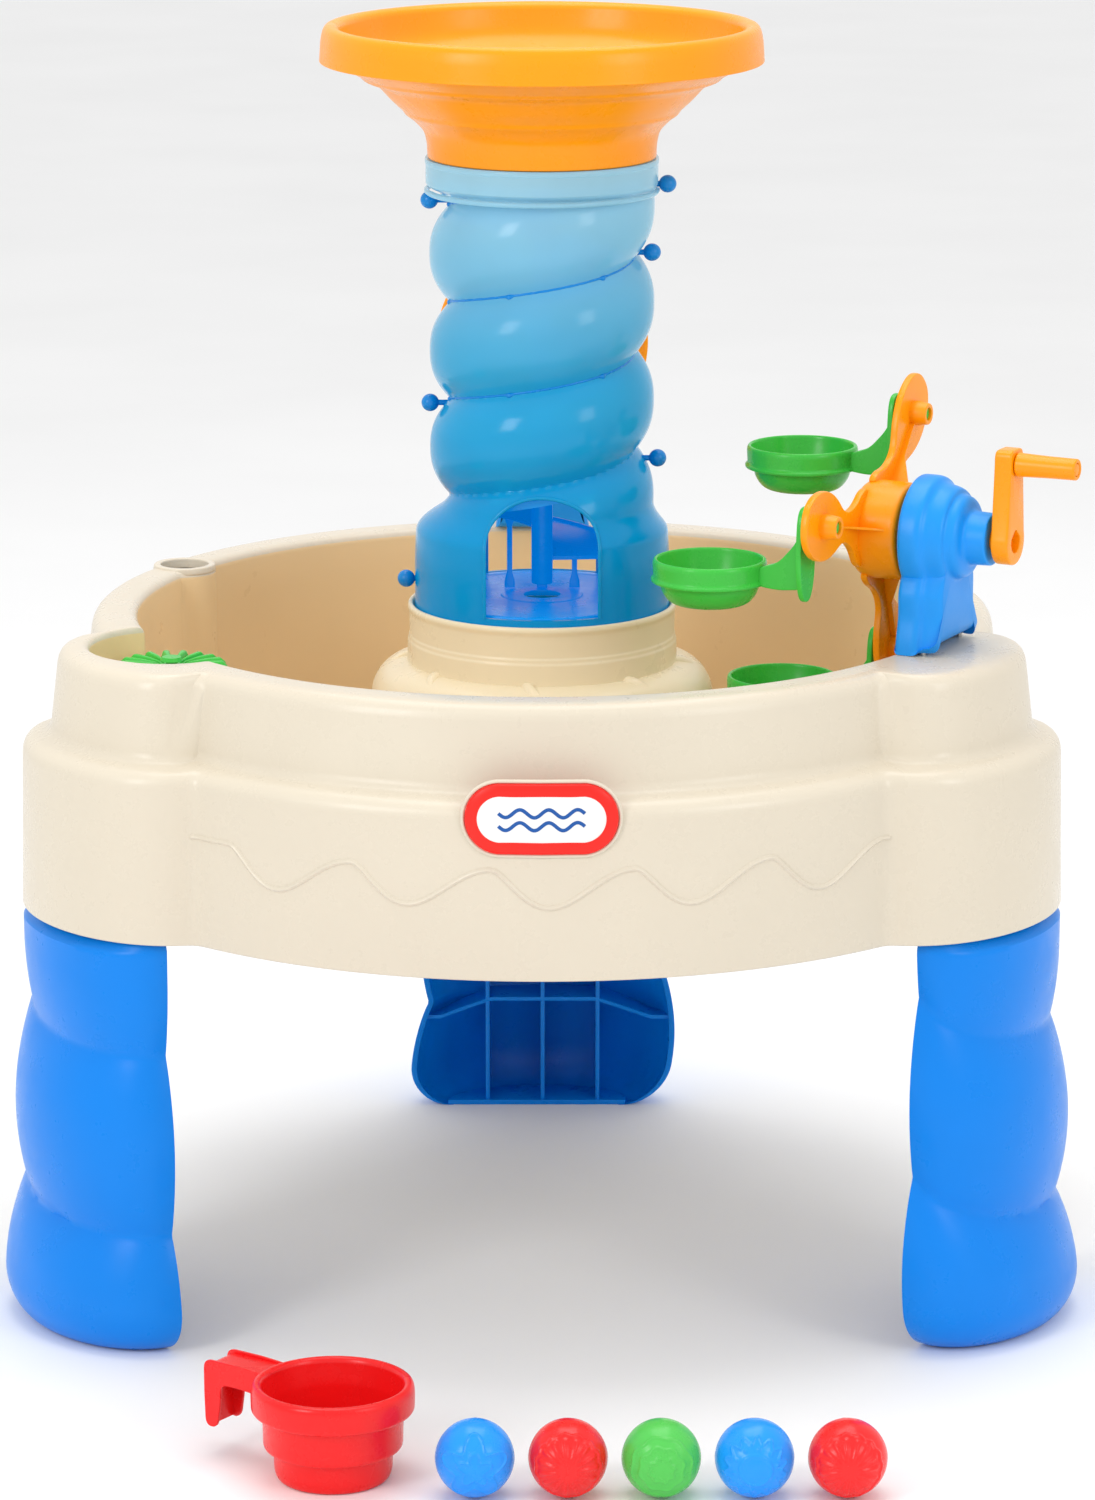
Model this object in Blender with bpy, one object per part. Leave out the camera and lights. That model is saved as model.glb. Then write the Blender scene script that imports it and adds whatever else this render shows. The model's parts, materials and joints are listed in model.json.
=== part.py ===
"""Sand and water table: a three-lobed double-walled tub on three legs, a turning spiral tower with a
funnel and a vaned base, a crank wheel carrying three tipping cups, a rear paddle wheel, a pocket
spinner, a scoop cup and five play balls.  Metres, +Z up, the floor at z = 0."""

import math

import bpy
import bmesh
from mathutils import Matrix, Vector

GAP = 0.0003  # clearance between touching pieces

# frame: the tower's axis stands this far behind the middle of the whole set
TOWER_Y = 0.08485

# tub
RIM_Z = 0.500
SKIRT_Z = 0.309
LEDGE_Z = 0.430
FLOOR_Z = 0.352
BASIN_R = 0.3035
WALL_R = 0.343
SKIRT_GROW = 0.0245
WALL = 0.005
LOBE_ANGLES = {"front_left": -150.0, "front_right": -30.0, "rear": 90.0}
LOBE_REACH = {"front_left": 0.341, "front_right": 0.341, "rear": 0.323}
LOBE_SIDE = 0.0865
LOBE_END = 0.052
BOSS_R = 0.048
BOSS_TOP = 0.394
PIVOT_R = 0.0065
DRAIN_AT = (0.006, -0.200)
DRAIN_R = 0.012
SOCKET_AT = (0.3135, 152.5)
SOCKET_R = 0.0242
SOCKET_FLOOR = 0.462
CLEAR_OF_RIM_Z = 0.520
POCKET_AT = (0.304, -153.0)
POCKET_ALONG = 0.058
POCKET_ACROSS = 0.064
POCKET_FLOOR = 0.470
SPINNER_AT = (0.300, -154.5)
SPINNER_R = 0.042
BADGE_SIZE = (0.107, 0.050)
BADGE_Z = 0.4262

# legs
LEG_SETBACK = 0.023
LEG_SIDE = 0.0940
LEG_DEPTH = 0.0455
LEG_FLARE = {"front_left": 0.009, "front_right": 0.009, "rear": 0.0}
LEG_TOP = 0.4155
LEG_WALL = 0.0045
LEG_RIB_STEP = 0.0456
LEG_SOLE = 0.004
LEG_SHELF_Z = 0.0755
LEG_SHELF_GROW = 0.0065
LEG_PROFILE = [  # height, how far the shell stands out past its plain size, share of the flare
    (0.000, -0.0120, 1), (0.005, 0.0030, 1), (0.016, 0.0135, 1), (0.030, 0.0190, 1), (0.060, 0.0155, 1),
    (0.090, 0.0005, 1), (0.120, 0.0065, 1), (0.152, 0.0095, 1), (0.190, 0.0050, 1), (0.2225, -0.0060, 1),
    (0.250, -0.0010, 1), (0.300, 0.0000, 1), (0.3075, -0.0045, 0), (0.330, -0.0060, 0), (LEG_TOP, -0.0065, 0),
]

# turning base, tower and funnel
BASE_R = 0.1000
BASE_LIP_Z = 0.503
BASE_DECK_Z = 0.4877
BASE_FOOT_Z = 0.362
VANES = 8
VANE_R = 0.130
DOME_TOP_Z = 0.4680
DOME_EDGE_Z = 0.4240
TOWER_FOOT_Z = 0.488
TOWER_TOP_Z = 0.838
TOWER_WAIST_R = 0.0688
TOWER_BULGE = 0.0150
TOWER_PITCH = 0.0728
TOWER_PHASE_Z = 0.730
TOWER_FOOT_R = 0.0955
TOWER_COLLAR_R = 0.0864
TOWER_WALL = 0.003
DOOR_HALF = 0.0414
DOOR_FOOT_Z = 0.5076
DOOR_TOP_Z = 0.594
DOOR_ARCH = 0.034
STUD_R = 0.0066
STUD_HEIGHTS = {"left": (0.806, 0.654, 0.520), "right": (0.818, 0.767, 0.612)}
RAMP_OUT = 0.0636
RAMP_CORE = 0.0080
RAMP_START = 5.0
RAMP_TURNS = 3.6
RAMP_ZERO_Z = 0.5328
RAMP_THICK = 0.003
FUNNEL_R = 0.164
FUNNEL_TOP_Z = 0.9365
FUNNEL_LIP_Z = 0.9093
FUNNEL_NECK_R = 0.0846

# crank wheel and its cups
WHEEL_YAW = -26.5
WHEEL_REACH = 0.272
WHEEL_Z = 0.5825
ARM_R = 0.0993
ARM_PHASE = 40.9
ARM_FACES = (-0.0040, 0.0012)
ARM_SIDE = [  # half-width of an arm and its distance from the axle, from the hub to the tip
    (0.0285, 0.0260), (0.0160, 0.0420), (0.0112, 0.0560), (0.0150, 0.0700), (0.0225, 0.0830),
    (0.0248, 0.0970), (0.0225, 0.1120), (0.0145, 0.1230), (0.0050, 0.1278),
]
PIN_BOSS_R = 0.0092
PIN_BOSS_ENDS = (-0.0095, 0.0135)
HUB_R = 0.036
HUB_ENDS = (-0.0090, 0.0290)
AXLE_R = 0.008
CUP_OUT = 0.088
CUP_DROP = 0.031
CUP_R = 0.0426
CUP_DEPTH = 0.034
PIN_R = 0.0045
PIN_END = 0.0115
LEAF_FACES = (-0.0148, -0.0108)
LEAF_SIDE = [  # half-width of a cup's leaf plate by height over its pin
    (0.0035, 0.0118), (0.0100, 0.0060), (0.0124, -0.0080), (0.0132, -0.0270), (0.0112, -0.0430), (0.0040, -0.0545),
]
GUSSET = [  # along the axle and up, from the leaf plate to the cup's band
    (-0.0130, -0.0030), (-0.0215, -0.0180), (-0.0330, -0.0290), (-0.0480, -0.0345), (-0.0505, -0.0465),
    (-0.0330, -0.0488), (-0.0130, -0.0468),
]
BRACKET_NEAR = 0.0345
BRACKET_FAR = 0.0650
CRANK_AT = 0.103
CRANK_ARM = 0.0565
CRANK_HALF = 0.0065
CRANK_END_R = 0.0172
CRANK_TOP_R = 0.0113

# rear wheel
REAR_Z = 0.655
REAR_REACH = 0.272
REAR_R = 0.084
REAR_BLADES = 8

# loose accessories
BALL_R = 0.0277
BALL_Y = -0.5546
BALL_X = 0.0812
BALL_STEP = 0.0632
BALL_COLOURS = ("blue", "red", "green", "blue", "red")
SCOOP_AT = (-0.1425, -0.5160)
SCOOP_H = 0.068
SCOOP_YAW = -35.0
HANDLE_OUT = 0.101
HANDLE_HALF = 0.0142
HANDLE_FOOT_Z = 0.020


def clear_scene():
    for item in list(bpy.data.objects):
        bpy.data.objects.remove(item, do_unlink=True)


def plastic(name, colour, roughness=0.38, alpha=1.0, metallic=0.0):
    """A Principled plastic of one colour."""
    mat = bpy.data.materials.new(name)
    mat.use_nodes = True
    shader = mat.node_tree.nodes["Principled BSDF"]
    shader.inputs["Base Color"].default_value = (*colour, 1.0)
    shader.inputs["Roughness"].default_value = roughness
    shader.inputs["Metallic"].default_value = metallic
    shader.inputs["Alpha"].default_value = alpha
    mat.diffuse_color = (*colour, alpha)
    return mat


def polar(radius, degrees, z=0.0):
    """A point by its distance from the tower's axis, its bearing and its height."""
    turn = math.radians(degrees)
    return Vector((radius * math.cos(turn), radius * math.sin(turn), z))


def solid(name, points, faces, mat=None, sharp=35.0):
    """A closed mesh object whose faces point out, shaded smooth up to the given angle."""
    mesh = bpy.data.meshes.new(name)
    mesh.from_pydata([tuple(p) for p in points], [], faces)
    shape = bmesh.new()
    shape.from_mesh(mesh)
    bmesh.ops.remove_doubles(shape, verts=shape.verts, dist=1e-6)
    bmesh.ops.recalc_face_normals(shape, faces=shape.faces)
    shape.to_mesh(mesh)
    shape.free()
    mesh.shade_smooth()
    mesh.set_sharp_from_angle(angle=math.radians(sharp))
    if mat is not None:
        mesh.materials.append(mat)
    piece = bpy.data.objects.new(name, mesh)
    bpy.context.scene.collection.objects.link(piece)
    return piece


def skin(name, rings, mat=None, looped=False):
    """Rings of equal point counts joined one to the next; looped joins the last to the first, and
    otherwise the two end rings are filled."""
    count = len(rings[0])
    points = [p for ring in rings for p in ring]
    faces = []
    spans = len(rings) if looped else len(rings) - 1
    for i in range(spans):
        a = i * count
        b = ((i + 1) % len(rings)) * count
        for j in range(count):
            k = (j + 1) % count
            faces.append((a + j, a + k, b + k, b + j))
    if not looped:
        faces.append(tuple(range(count)))
        faces.append(tuple((len(rings) - 1) * count + j for j in range(count)))
    return solid(name, points, faces, mat)


def turned(name, profile, sides, mat=None, looped=False):
    """A profile of (radius, height) pairs turned about +Z."""
    rings = [[polar(r, 360.0 * j / sides, z) for j in range(sides)] for r, z in profile]
    return skin(name, rings, mat, looped)


def rod(name, radius, start, end, sides=16, mat=None):
    """A straight round rod between two points."""
    start = Vector(start)
    way = Vector(end) - start
    piece = turned(name, [(radius, 0.0), (radius, way.length)], sides, mat)
    piece.data.transform(Matrix.Translation(start) @ way.to_track_quat("Z", "Y").to_matrix().to_4x4())
    return piece


def slab(name, outline, low, high, mat=None):
    """A flat outline of (x, y) pairs raised from one height to another."""
    rings = [[Vector((x, y, z)) for x, y in outline] for z in (low, high)]
    return skin(name, rings, mat)


def oval(name, at, bearing, along, across, low, high, sides=26):
    """An upright oval post; `along` is its half-size on its bearing and `across` the other one."""
    turns = [math.tau * k / sides for k in range(sides)]
    piece = slab(name, [(along * math.cos(t), across * math.sin(t)) for t in turns], low, high)
    piece.data.transform(Matrix.Translation(at) @ Matrix.Rotation(math.radians(bearing), 4, "Z"))
    return piece


def block(name, low, high, mat=None):
    """A box between two opposite corners."""
    outline = [(low[0], low[1]), (high[0], low[1]), (high[0], high[1]), (low[0], high[1])]
    return slab(name, outline, low[2], high[2], mat)


def combine(piece, other, how):
    """Booleans one object into another and removes the second."""
    cut = piece.modifiers.new("combine", "BOOLEAN")
    cut.operation = how
    cut.solver = "EXACT"
    cut.object = other
    bpy.context.view_layer.update()
    graph = bpy.context.evaluated_depsgraph_get()
    mesh = bpy.data.meshes.new_from_object(piece.evaluated_get(graph))
    piece.modifiers.clear()
    shape = bmesh.new()
    shape.from_mesh(mesh)
    bmesh.ops.remove_doubles(shape, verts=shape.verts, dist=2e-6)
    shape.to_mesh(mesh)
    shape.free()
    piece.data = mesh
    bpy.data.objects.remove(other, do_unlink=True)
    return piece


def add(piece, other):
    return combine(piece, other, "UNION")


def cut_away(piece, other):
    return combine(piece, other, "DIFFERENCE")


def dress(piece, mat, sharp=35.0):
    """Gives a finished object one material and smooth shading."""
    piece.data.materials.clear()
    piece.data.materials.append(mat)
    for face in piece.data.polygons:
        face.material_index = 0
    piece.data.shade_smooth()
    piece.data.set_sharp_from_angle(angle=math.radians(sharp))
    return piece


def hang(piece, frame, origin=(0.0, 0.0, 0.0)):
    """Moves an object's origin to a point of its own and parents it to a frame empty."""
    origin = Vector(origin)
    piece.data.transform(Matrix.Translation(-origin))
    piece.location = origin
    piece.parent = frame
    return piece


def empty(name, parent=None, location=(0.0, 0.0, 0.0), yaw=0.0):
    item = bpy.data.objects.new(name, None)
    bpy.context.scene.collection.objects.link(item)
    item.location = location
    item.rotation_euler = (0.0, 0.0, math.radians(yaw))
    item.parent = parent
    return item


# ---------------------------------------------------------------- tub

def lobe_radius(turn, angle, reach, side, end):
    """Where a ray from the tower's axis leaves a lobe's ellipse, or 0 where it misses."""
    off = math.radians((turn - angle + 180.0) % 360.0 - 180.0)
    a = (math.cos(off) / end) ** 2 + (math.sin(off) / side) ** 2
    b = -2.0 * reach * math.cos(off) / end ** 2
    c = (reach / end) ** 2 - 1.0
    root = b * b - 4.0 * a * c
    if root < 0.0 or math.cos(off) < 0.0:
        return 0.0
    return (-b + math.sqrt(root)) / (2.0 * a)


def outline_radius(turn, grow):
    """The tub's plan outline on one bearing, grown outwards from the upper wall."""
    best = WALL_R + grow
    for name, angle in LOBE_ANGLES.items():
        reach = LOBE_REACH[name]
        best = max(best, lobe_radius(turn, angle, reach, LOBE_SIDE + grow, LOBE_END + grow))
    return best


def tub_bearings():
    """Bearings round the tub, closer together along the lobes' sides."""
    offsets = [0.0, 4.5, 8.5, 12.0, 14.8, 16.8, 18.6, 29.0, 40.0, 50.0]
    turns = set()
    for angle in LOBE_ANGLES.values():
        for off in offsets + [60.0]:
            turns.add(round((angle + off) % 360.0, 4))
            turns.add(round((angle - off) % 360.0, 4))
    return sorted(turns)


def make_tub(mat):
    turns = tub_bearings()
    grow = SKIRT_GROW

    def outer(step, z):
        return [polar(outline_radius(t, step), t, z) for t in turns]

    def circle(radius, z):
        return [polar(radius, t, z) for t in turns]

    under = FLOOR_Z - WALL
    rings = [
        outer(grow, SKIRT_Z), outer(grow - 0.0030, LEDGE_Z - 0.004), outer(grow - 0.0085, LEDGE_Z + 0.0040),
        outer(0.0045, LEDGE_Z + 0.0075), outer(0.0002, LEDGE_Z + 0.0140), outer(-0.0055, RIM_Z - 0.0080),
        outer(-0.0130, RIM_Z),
        circle(BASIN_R + 0.0065, RIM_Z), circle(BASIN_R + 0.0003, RIM_Z - 0.0050),
        circle(BASIN_R - 0.004, FLOOR_Z + 0.016), circle(BASIN_R - 0.018, FLOOR_Z),
        circle(BOSS_R + 0.010, FLOOR_Z), circle(BOSS_R, BOSS_TOP), circle(PIVOT_R, BOSS_TOP),
        circle(PIVOT_R, BOSS_TOP - WALL), circle(BOSS_R - WALL, BOSS_TOP - WALL),
        circle(BOSS_R + 0.003, under), circle(BASIN_R - 0.014, under),
        circle(BASIN_R + 0.001, FLOOR_Z + 0.016), circle(BASIN_R + 0.006, RIM_Z - 0.0055),
        outer(-0.0160, RIM_Z - 0.0055), outer(-0.0105, RIM_Z - 0.0110), outer(-0.0048, LEDGE_Z + 0.0100),
        outer(0.0025, LEDGE_Z + 0.0025), outer(grow - 0.0095, LEDGE_Z - 0.0060), outer(grow - 0.0050, SKIRT_Z),
    ]
    tub = skin("tub", rings, looped=True)

    # rim socket with a recess on top and an open core below
    at = polar(*SOCKET_AT)
    add(tub, rod("post", SOCKET_R, at + Vector((0, 0, under + 0.002)), at + Vector((0, 0, RIM_Z - 0.001)), 16))
    cut_away(tub, rod("recess", 0.018, at + Vector((0, 0, SOCKET_FLOOR)), at + Vector((0, 0, CLEAR_OF_RIM_Z)), 16))
    cut_away(tub, rod("core", 0.0195, at + Vector((0, 0, SKIRT_Z - 0.009)),
                      at + Vector((0, 0, SOCKET_FLOOR - WALL)), 16))

    # spinner pocket, open towards the basin
    at = polar(*POCKET_AT)
    bearing = POCKET_AT[1]
    add(tub, oval("pod", at, bearing, POCKET_ALONG + 0.004, POCKET_ACROSS + 0.004, under + 0.002, RIM_Z - 0.001))
    cut_away(tub, oval("hollow", at, bearing, POCKET_ALONG, POCKET_ACROSS, POCKET_FLOOR, CLEAR_OF_RIM_Z))
    cut_away(tub, oval("core", at, bearing, POCKET_ALONG, POCKET_ACROSS, SKIRT_Z - 0.009, POCKET_FLOOR - 0.004))
    for near, half in ((-0.012, 0.075), (-0.003, 0.056)):
        mouth = block("mouth", (-0.080, -half, POCKET_FLOOR + 0.0004), (near, half, CLEAR_OF_RIM_Z))
        mouth.data.transform(Matrix.Translation(at) @ Matrix.Rotation(math.radians(bearing), 4, "Z"))
        cut_away(tub, mouth)
    at = polar(*SPINNER_AT)
    cut_away(tub, rod("pin_hole", 0.0045, at + Vector((0, 0, POCKET_FLOOR - 0.02)),
                      at + Vector((0, 0, POCKET_FLOOR + 0.02)), 14))

    # drain hole
    cut_away(tub, rod("drain", DRAIN_R, (*DRAIN_AT, 0.330), (*DRAIN_AT, 0.370), 20))

    # holes for the brackets' screws
    for x, y, _ in screw_places():
        cut_away(tub, rod("screw_hole", 0.0027, (x, y, RIM_Z - 0.012), (x, y, RIM_Z + 0.010), 10))
    return dress(tub, mat, 28.0)


def make_plug(mat, frame):
    plug = turned("drain_plug", [(0.0165, FLOOR_Z + 0.004), (0.0185, FLOOR_Z + 0.0008),
                                 (0.0185, FLOOR_Z + GAP), (DRAIN_R - GAP, FLOOR_Z + GAP),
                                 (DRAIN_R - 0.001, FLOOR_Z - 0.012)], 20)
    add(plug, block("tab", (-0.010, -0.0016, FLOOR_Z + 0.002), (0.010, 0.0016, FLOOR_Z + 0.014)))
    plug.data.transform(Matrix.Translation((*DRAIN_AT, 0)))
    return hang(dress(plug, mat), frame, (*DRAIN_AT, FLOOR_Z))


def make_badge(mat, frame):
    """A plain plate with half-round ends on the front of the ledge."""
    skirt = outline_radius(-90.0, SKIRT_GROW)
    width, height = BADGE_SIZE
    rings = []
    for inset, depth in ((0.0, 0.0005), (0.0, 0.0025), (0.0012, 0.0036)):
        ring = []
        for side in (1.0, -1.0):
            for k in range(13):
                turn = math.pi * (k / 12 - 0.5)
                x = side * (0.5 * (width - height) + (0.5 * height - inset) * math.cos(turn))
                z = side * (0.5 * height - inset) * math.sin(turn)
                ring.append(Vector((x, -math.sqrt((skirt + depth) ** 2 - x * x), BADGE_Z + z)))
        rings.append(ring)
    return hang(skin("badge_plate", rings, mat), frame)


# ---------------------------------------------------------------- legs

def make_leg(name, mat, frame):
    """A half-round shell, open to the middle, with a sole, three upright ribs and two level ones."""
    angle = LOBE_ANGLES[name]
    back = LOBE_REACH[name] + LEG_SETBACK
    steps = 10

    def size(grow, share, inset):
        return LEG_SIDE + grow * 0.8 - inset, LEG_DEPTH + grow * 1.1 + share * LEG_FLARE[name] - inset

    def arc(grow, share, inset):
        side, depth = size(grow, share, inset)
        return [(depth * math.sin(math.pi * k / steps), side * math.cos(math.pi * k / steps))
                for k in range(steps + 1)]

    rings = []
    for z, grow, share in LEG_PROFILE:
        line = arc(grow, share, 0.0) + arc(grow, share, LEG_WALL)[::-1]
        rings.append([Vector((back + x, y, z)) for x, y in line])
    leg = skin("leg_" + name, rings)
    for k in (-1, 0, 1):
        rib = []
        for z, grow, share in LEG_PROFILE:
            side, depth = size(grow, share, 0.5 * LEG_WALL)
            y = k * LEG_RIB_STEP
            far = depth * math.sqrt(1.0 - (y / side) ** 2)
            near = 0.004 if k else 0.003
            rib.append([Vector((back + x, y + w, min(z, LEG_TOP - 0.0015) + (0.0015 if z == 0.0 else 0.0)))
                        for x, w in ((near, -0.0016), (far, -0.0016), (far, 0.0016), (near, 0.0016))])
        add(leg, skin("rib", rib))
    for low, high, grow in ((0.0, LEG_SOLE, LEG_PROFILE[0][1]),
                            (LEG_SHELF_Z, LEG_SHELF_Z + 0.0035, LEG_SHELF_GROW),
                            (LEG_TOP - 0.006, LEG_TOP - 0.002, LEG_PROFILE[-1][1])):
        arch = arc(grow, 1 if low < SKIRT_Z else 0, 0.6 * LEG_WALL)
        shelf = [(back + max(x, 0.0035), y) for x, y in arch]
        add(leg, slab("shelf", shelf, low, high))
    leg.data.transform(Matrix.Rotation(math.radians(angle), 4, "Z"))
    return hang(dress(leg, mat, 30.0), frame)


# ---------------------------------------------------------------- turning base, tower and funnel

def make_base(mat, frame):
    profile = [
        (0.0964, BASE_LIP_Z), (BASE_R, BASE_LIP_Z), (0.1012, 0.5005), (BASE_R - 0.0002, 0.4960),
        (0.0995, 0.4770), (0.1010, 0.4735), (0.1015, BASE_FOOT_Z),
        (0.0980, BASE_FOOT_Z), (0.0980, 0.4838), (0.0150, 0.4838), (0.0150, BOSS_TOP + GAP),
        (PIVOT_R, BOSS_TOP + GAP), (PIVOT_R, BASE_DECK_Z), (0.0964, BASE_DECK_Z),
    ]
    base = turned("stirrer_base", profile, 26, looped=True)
    dome = [
        (0.0990, DOME_TOP_Z), (0.1120, 0.4630), (0.1230, 0.4530), (0.1280, 0.4400), (VANE_R - 0.001, DOME_EDGE_Z),
        (0.1260, DOME_EDGE_Z), (0.1245, 0.4400), (0.1160, 0.4520), (0.0990, DOME_TOP_Z - 0.006),
    ]
    add(base, turned("dome", dome, 26, looped=True))
    for k in range(VANES):
        fin = [(0.0990, 0.3640), (VANE_R, 0.3640), (VANE_R, 0.4240)]
        fin += [(0.1000 + (VANE_R - 0.1000) * math.cos(math.radians(a)), 0.4240 + 0.0410 * math.sin(math.radians(a)))
                for a in (22.0, 45.0, 68.0)]
        fin.append((0.0990, 0.4650))
        rings = [[Vector((x, y, z)) for x, z in fin] for y in (-0.004, 0.004)]
        vane = skin("vane", rings)
        vane.data.transform(Matrix.Rotation(math.radians(360.0 * k / VANES - 6.0), 4, "Z"))
        add(base, vane)
    return hang(dress(base, mat), frame)


def tower_radius(turn, z):
    """The tower's outer radius: one thread of round bulges, a flared foot and a plain collar."""
    swell = (z - TOWER_PHASE_Z - TOWER_PITCH * turn / 360.0) / TOWER_PITCH
    swell = swell - math.floor(swell + 0.5)
    radius = TOWER_WAIST_R + TOWER_BULGE * (1.0 - abs(2.0 * swell) ** 2.4)
    foot = min(1.0, max(0.0, (0.580 - z) / 0.022))
    foot = foot * foot * (3.0 - 2.0 * foot)
    top = min(1.0, max(0.0, (z - 0.812) / 0.008))
    radius += (TOWER_FOOT_R - radius) * foot
    return radius + (TOWER_COLLAR_R - radius) * top


def make_tower_half(name, first, mat, frame):
    """Half of the tower's shell, from one seam round to the other, with its arched doorway."""
    seam = math.degrees(0.5 * GAP / 0.085)
    steps = 12
    turns = [first + seam + (180.0 - 2.0 * seam) * j / steps for j in range(steps + 1)]
    plain = [TOWER_FOOT_Z, 0.503, 0.556, 0.566, 0.573]
    winding = [0.583 + TOWER_PITCH / 5.0 * k for k in range(16)]
    heights = plain + winding + [0.820, TOWER_TOP_Z]
    rings = []
    for z in heights:
        out = [polar(tower_radius(t, z), t, z) for t in turns]
        inner = [polar(tower_radius(t, z) - TOWER_WALL, t, z) for t in turns[::-1]]
        rings.append(out + inner)
    half = skin(name, rings)
    arch = [(-DOOR_HALF, DOOR_FOOT_Z), (DOOR_HALF, DOOR_FOOT_Z)]
    spring = DOOR_TOP_Z - DOOR_ARCH
    for k in range(11):
        turn = math.pi * k / 10
        arch.append((DOOR_HALF * math.cos(turn), spring + DOOR_ARCH * math.sin(turn)))
    side = -1.0 if first < 0.0 else 1.0
    cut_away(half, skin("door", [[Vector((x, side * y, z)) for x, z in arch] for y in (0.050, 0.120)]))
    for x, z in stud_places():
        cut_away(half, rod("stud_hole", 0.0025, (x * 0.6, 0, z), (x * 1.4, 0, z), 10))
    return hang(dress(half, mat), frame)


def stud_places():
    """Signed radius and height at which each snap stud's head sits on the seams."""
    places = []
    for side, sign, turn in (("left", -1.0, 180.0), ("right", 1.0, 0.0)):
        for z in STUD_HEIGHTS[side]:
            seat = max(tower_radius(turn + 2.0 * a, z + 0.0015 * b) for a in range(-2, 3) for b in range(-4, 5))
            places.append((sign * (seat + GAP), z))
    return places


def make_studs(mat, frame):
    """Ball-headed studs that hold the halves together along their seams."""
    studs = []
    for k, (x, z) in enumerate(stud_places()):
        sign = math.copysign(1.0, x)
        profile = [(0.0021, -0.012), (0.0021, 0.0002)]
        for a in (-62.0, -28.0, 8.0, 44.0, 72.0):
            turn = math.radians(a)
            profile.append((STUD_R * math.cos(turn), 0.0066 + STUD_R * math.sin(turn)))
        stud = turned("snap_stud_%d" % (k + 1), profile, 10, mat)
        stud.data.transform(Matrix.Translation((x, 0, z)) @ Matrix.Rotation(sign * math.pi / 2, 4, "Y"))
        studs.append(hang(stud, frame))
    return studs


def make_floor(mat, frame):
    """The tower's inner floor disc on its ring."""
    profile = [(0.0140, 0.5080), (0.0885, 0.5080), (0.0885, TOWER_FOOT_Z + GAP), (0.0855, TOWER_FOOT_Z + GAP),
               (0.0855, 0.5050), (0.0140, 0.5050)]
    return hang(turned("tower_floor", profile, 28, mat, looped=True), frame)


def make_ramp(mat, frame):
    """The winding track inside the tower, on a core and three bars."""
    count = int(RAMP_TURNS * 10)
    rings = []
    for k in range(count + 1):
        turn = RAMP_START + 360.0 * RAMP_TURNS * k / count
        z = RAMP_ZERO_Z + TOWER_PITCH * turn / 360.0
        rings.append([polar(0.004, turn, z), polar(RAMP_OUT, turn, z),
                      polar(RAMP_OUT, turn, z + RAMP_THICK), polar(0.004, turn, z + RAMP_THICK)])
    ramp = skin("spiral_ramp", rings)
    add(ramp, rod("core", RAMP_CORE, (0, 0, 0.5165), (0, 0, 0.8150), 12))
    for x in (-0.0245, 0.0, 0.0245):
        turn = math.degrees(math.atan2(0.026, x))
        z = RAMP_ZERO_Z + TOWER_PITCH * turn / 360.0
        add(ramp, block("bar", (x - 0.0022, 0.0235, 0.5080 + GAP), (x + 0.0022, 0.0285, z + 0.0015)))
    return hang(dress(ramp, mat), frame)


def make_funnel(mat, frame):
    seat = TOWER_TOP_Z + GAP
    outer = [
        (0.1560, FUNNEL_TOP_Z), (0.1612, 0.9345), (0.1628, 0.9265), (FUNNEL_R, FUNNEL_LIP_Z + 0.0015),
        (FUNNEL_R, FUNNEL_LIP_Z), (0.1600, FUNNEL_LIP_Z), (0.1570, 0.9170), (0.1480, 0.9068), (0.1340, 0.8985),
        (0.1215, 0.8925), (0.1115, 0.8815), (0.0965, 0.8675), (0.0872, 0.8585), (0.0850, 0.8490),
        (FUNNEL_NECK_R, seat),
        (0.0805, seat), (0.0800, 0.8260),
    ]
    inner = [
        (0.0770, 0.8260), (0.0795, 0.8490), (0.0830, 0.8600), (0.0940, 0.8720), (0.1085, 0.8840),
        (0.1180, 0.8960), (0.1310, 0.9025), (0.1450, 0.9105), (0.1515, 0.9300),
    ]
    return hang(turned("funnel", outer + inner, 26, mat, looped=True), frame)


def make_pivot(mat, frame):
    bolt = turned("pivot_bolt", [(0.0110, 0.3830), (0.0110, BOSS_TOP - WALL - GAP),
                                 (PIVOT_R - 0.0004, BOSS_TOP - WALL - GAP), (PIVOT_R - 0.0004, 0.4878)], 14, mat)
    cap = turned("pivot_cap", [(0.0115, 0.4880), (0.0115, 0.4905), (0.0070, 0.4935)], 14, mat)
    return [hang(bolt, frame), hang(cap, frame)]


# ---------------------------------------------------------------- crank wheel

def about_x(piece):
    """Turns a piece made about +Z so that it lies along +X."""
    piece.data.transform(Matrix.Rotation(math.pi / 2, 4, "Y"))
    return piece


def arm_point(k, radius):
    """A point in the wheel's plane on arm k, as (y, z)."""
    turn = math.radians(ARM_PHASE - 120.0 * k)
    return radius * math.sin(turn), radius * math.cos(turn)


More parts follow.
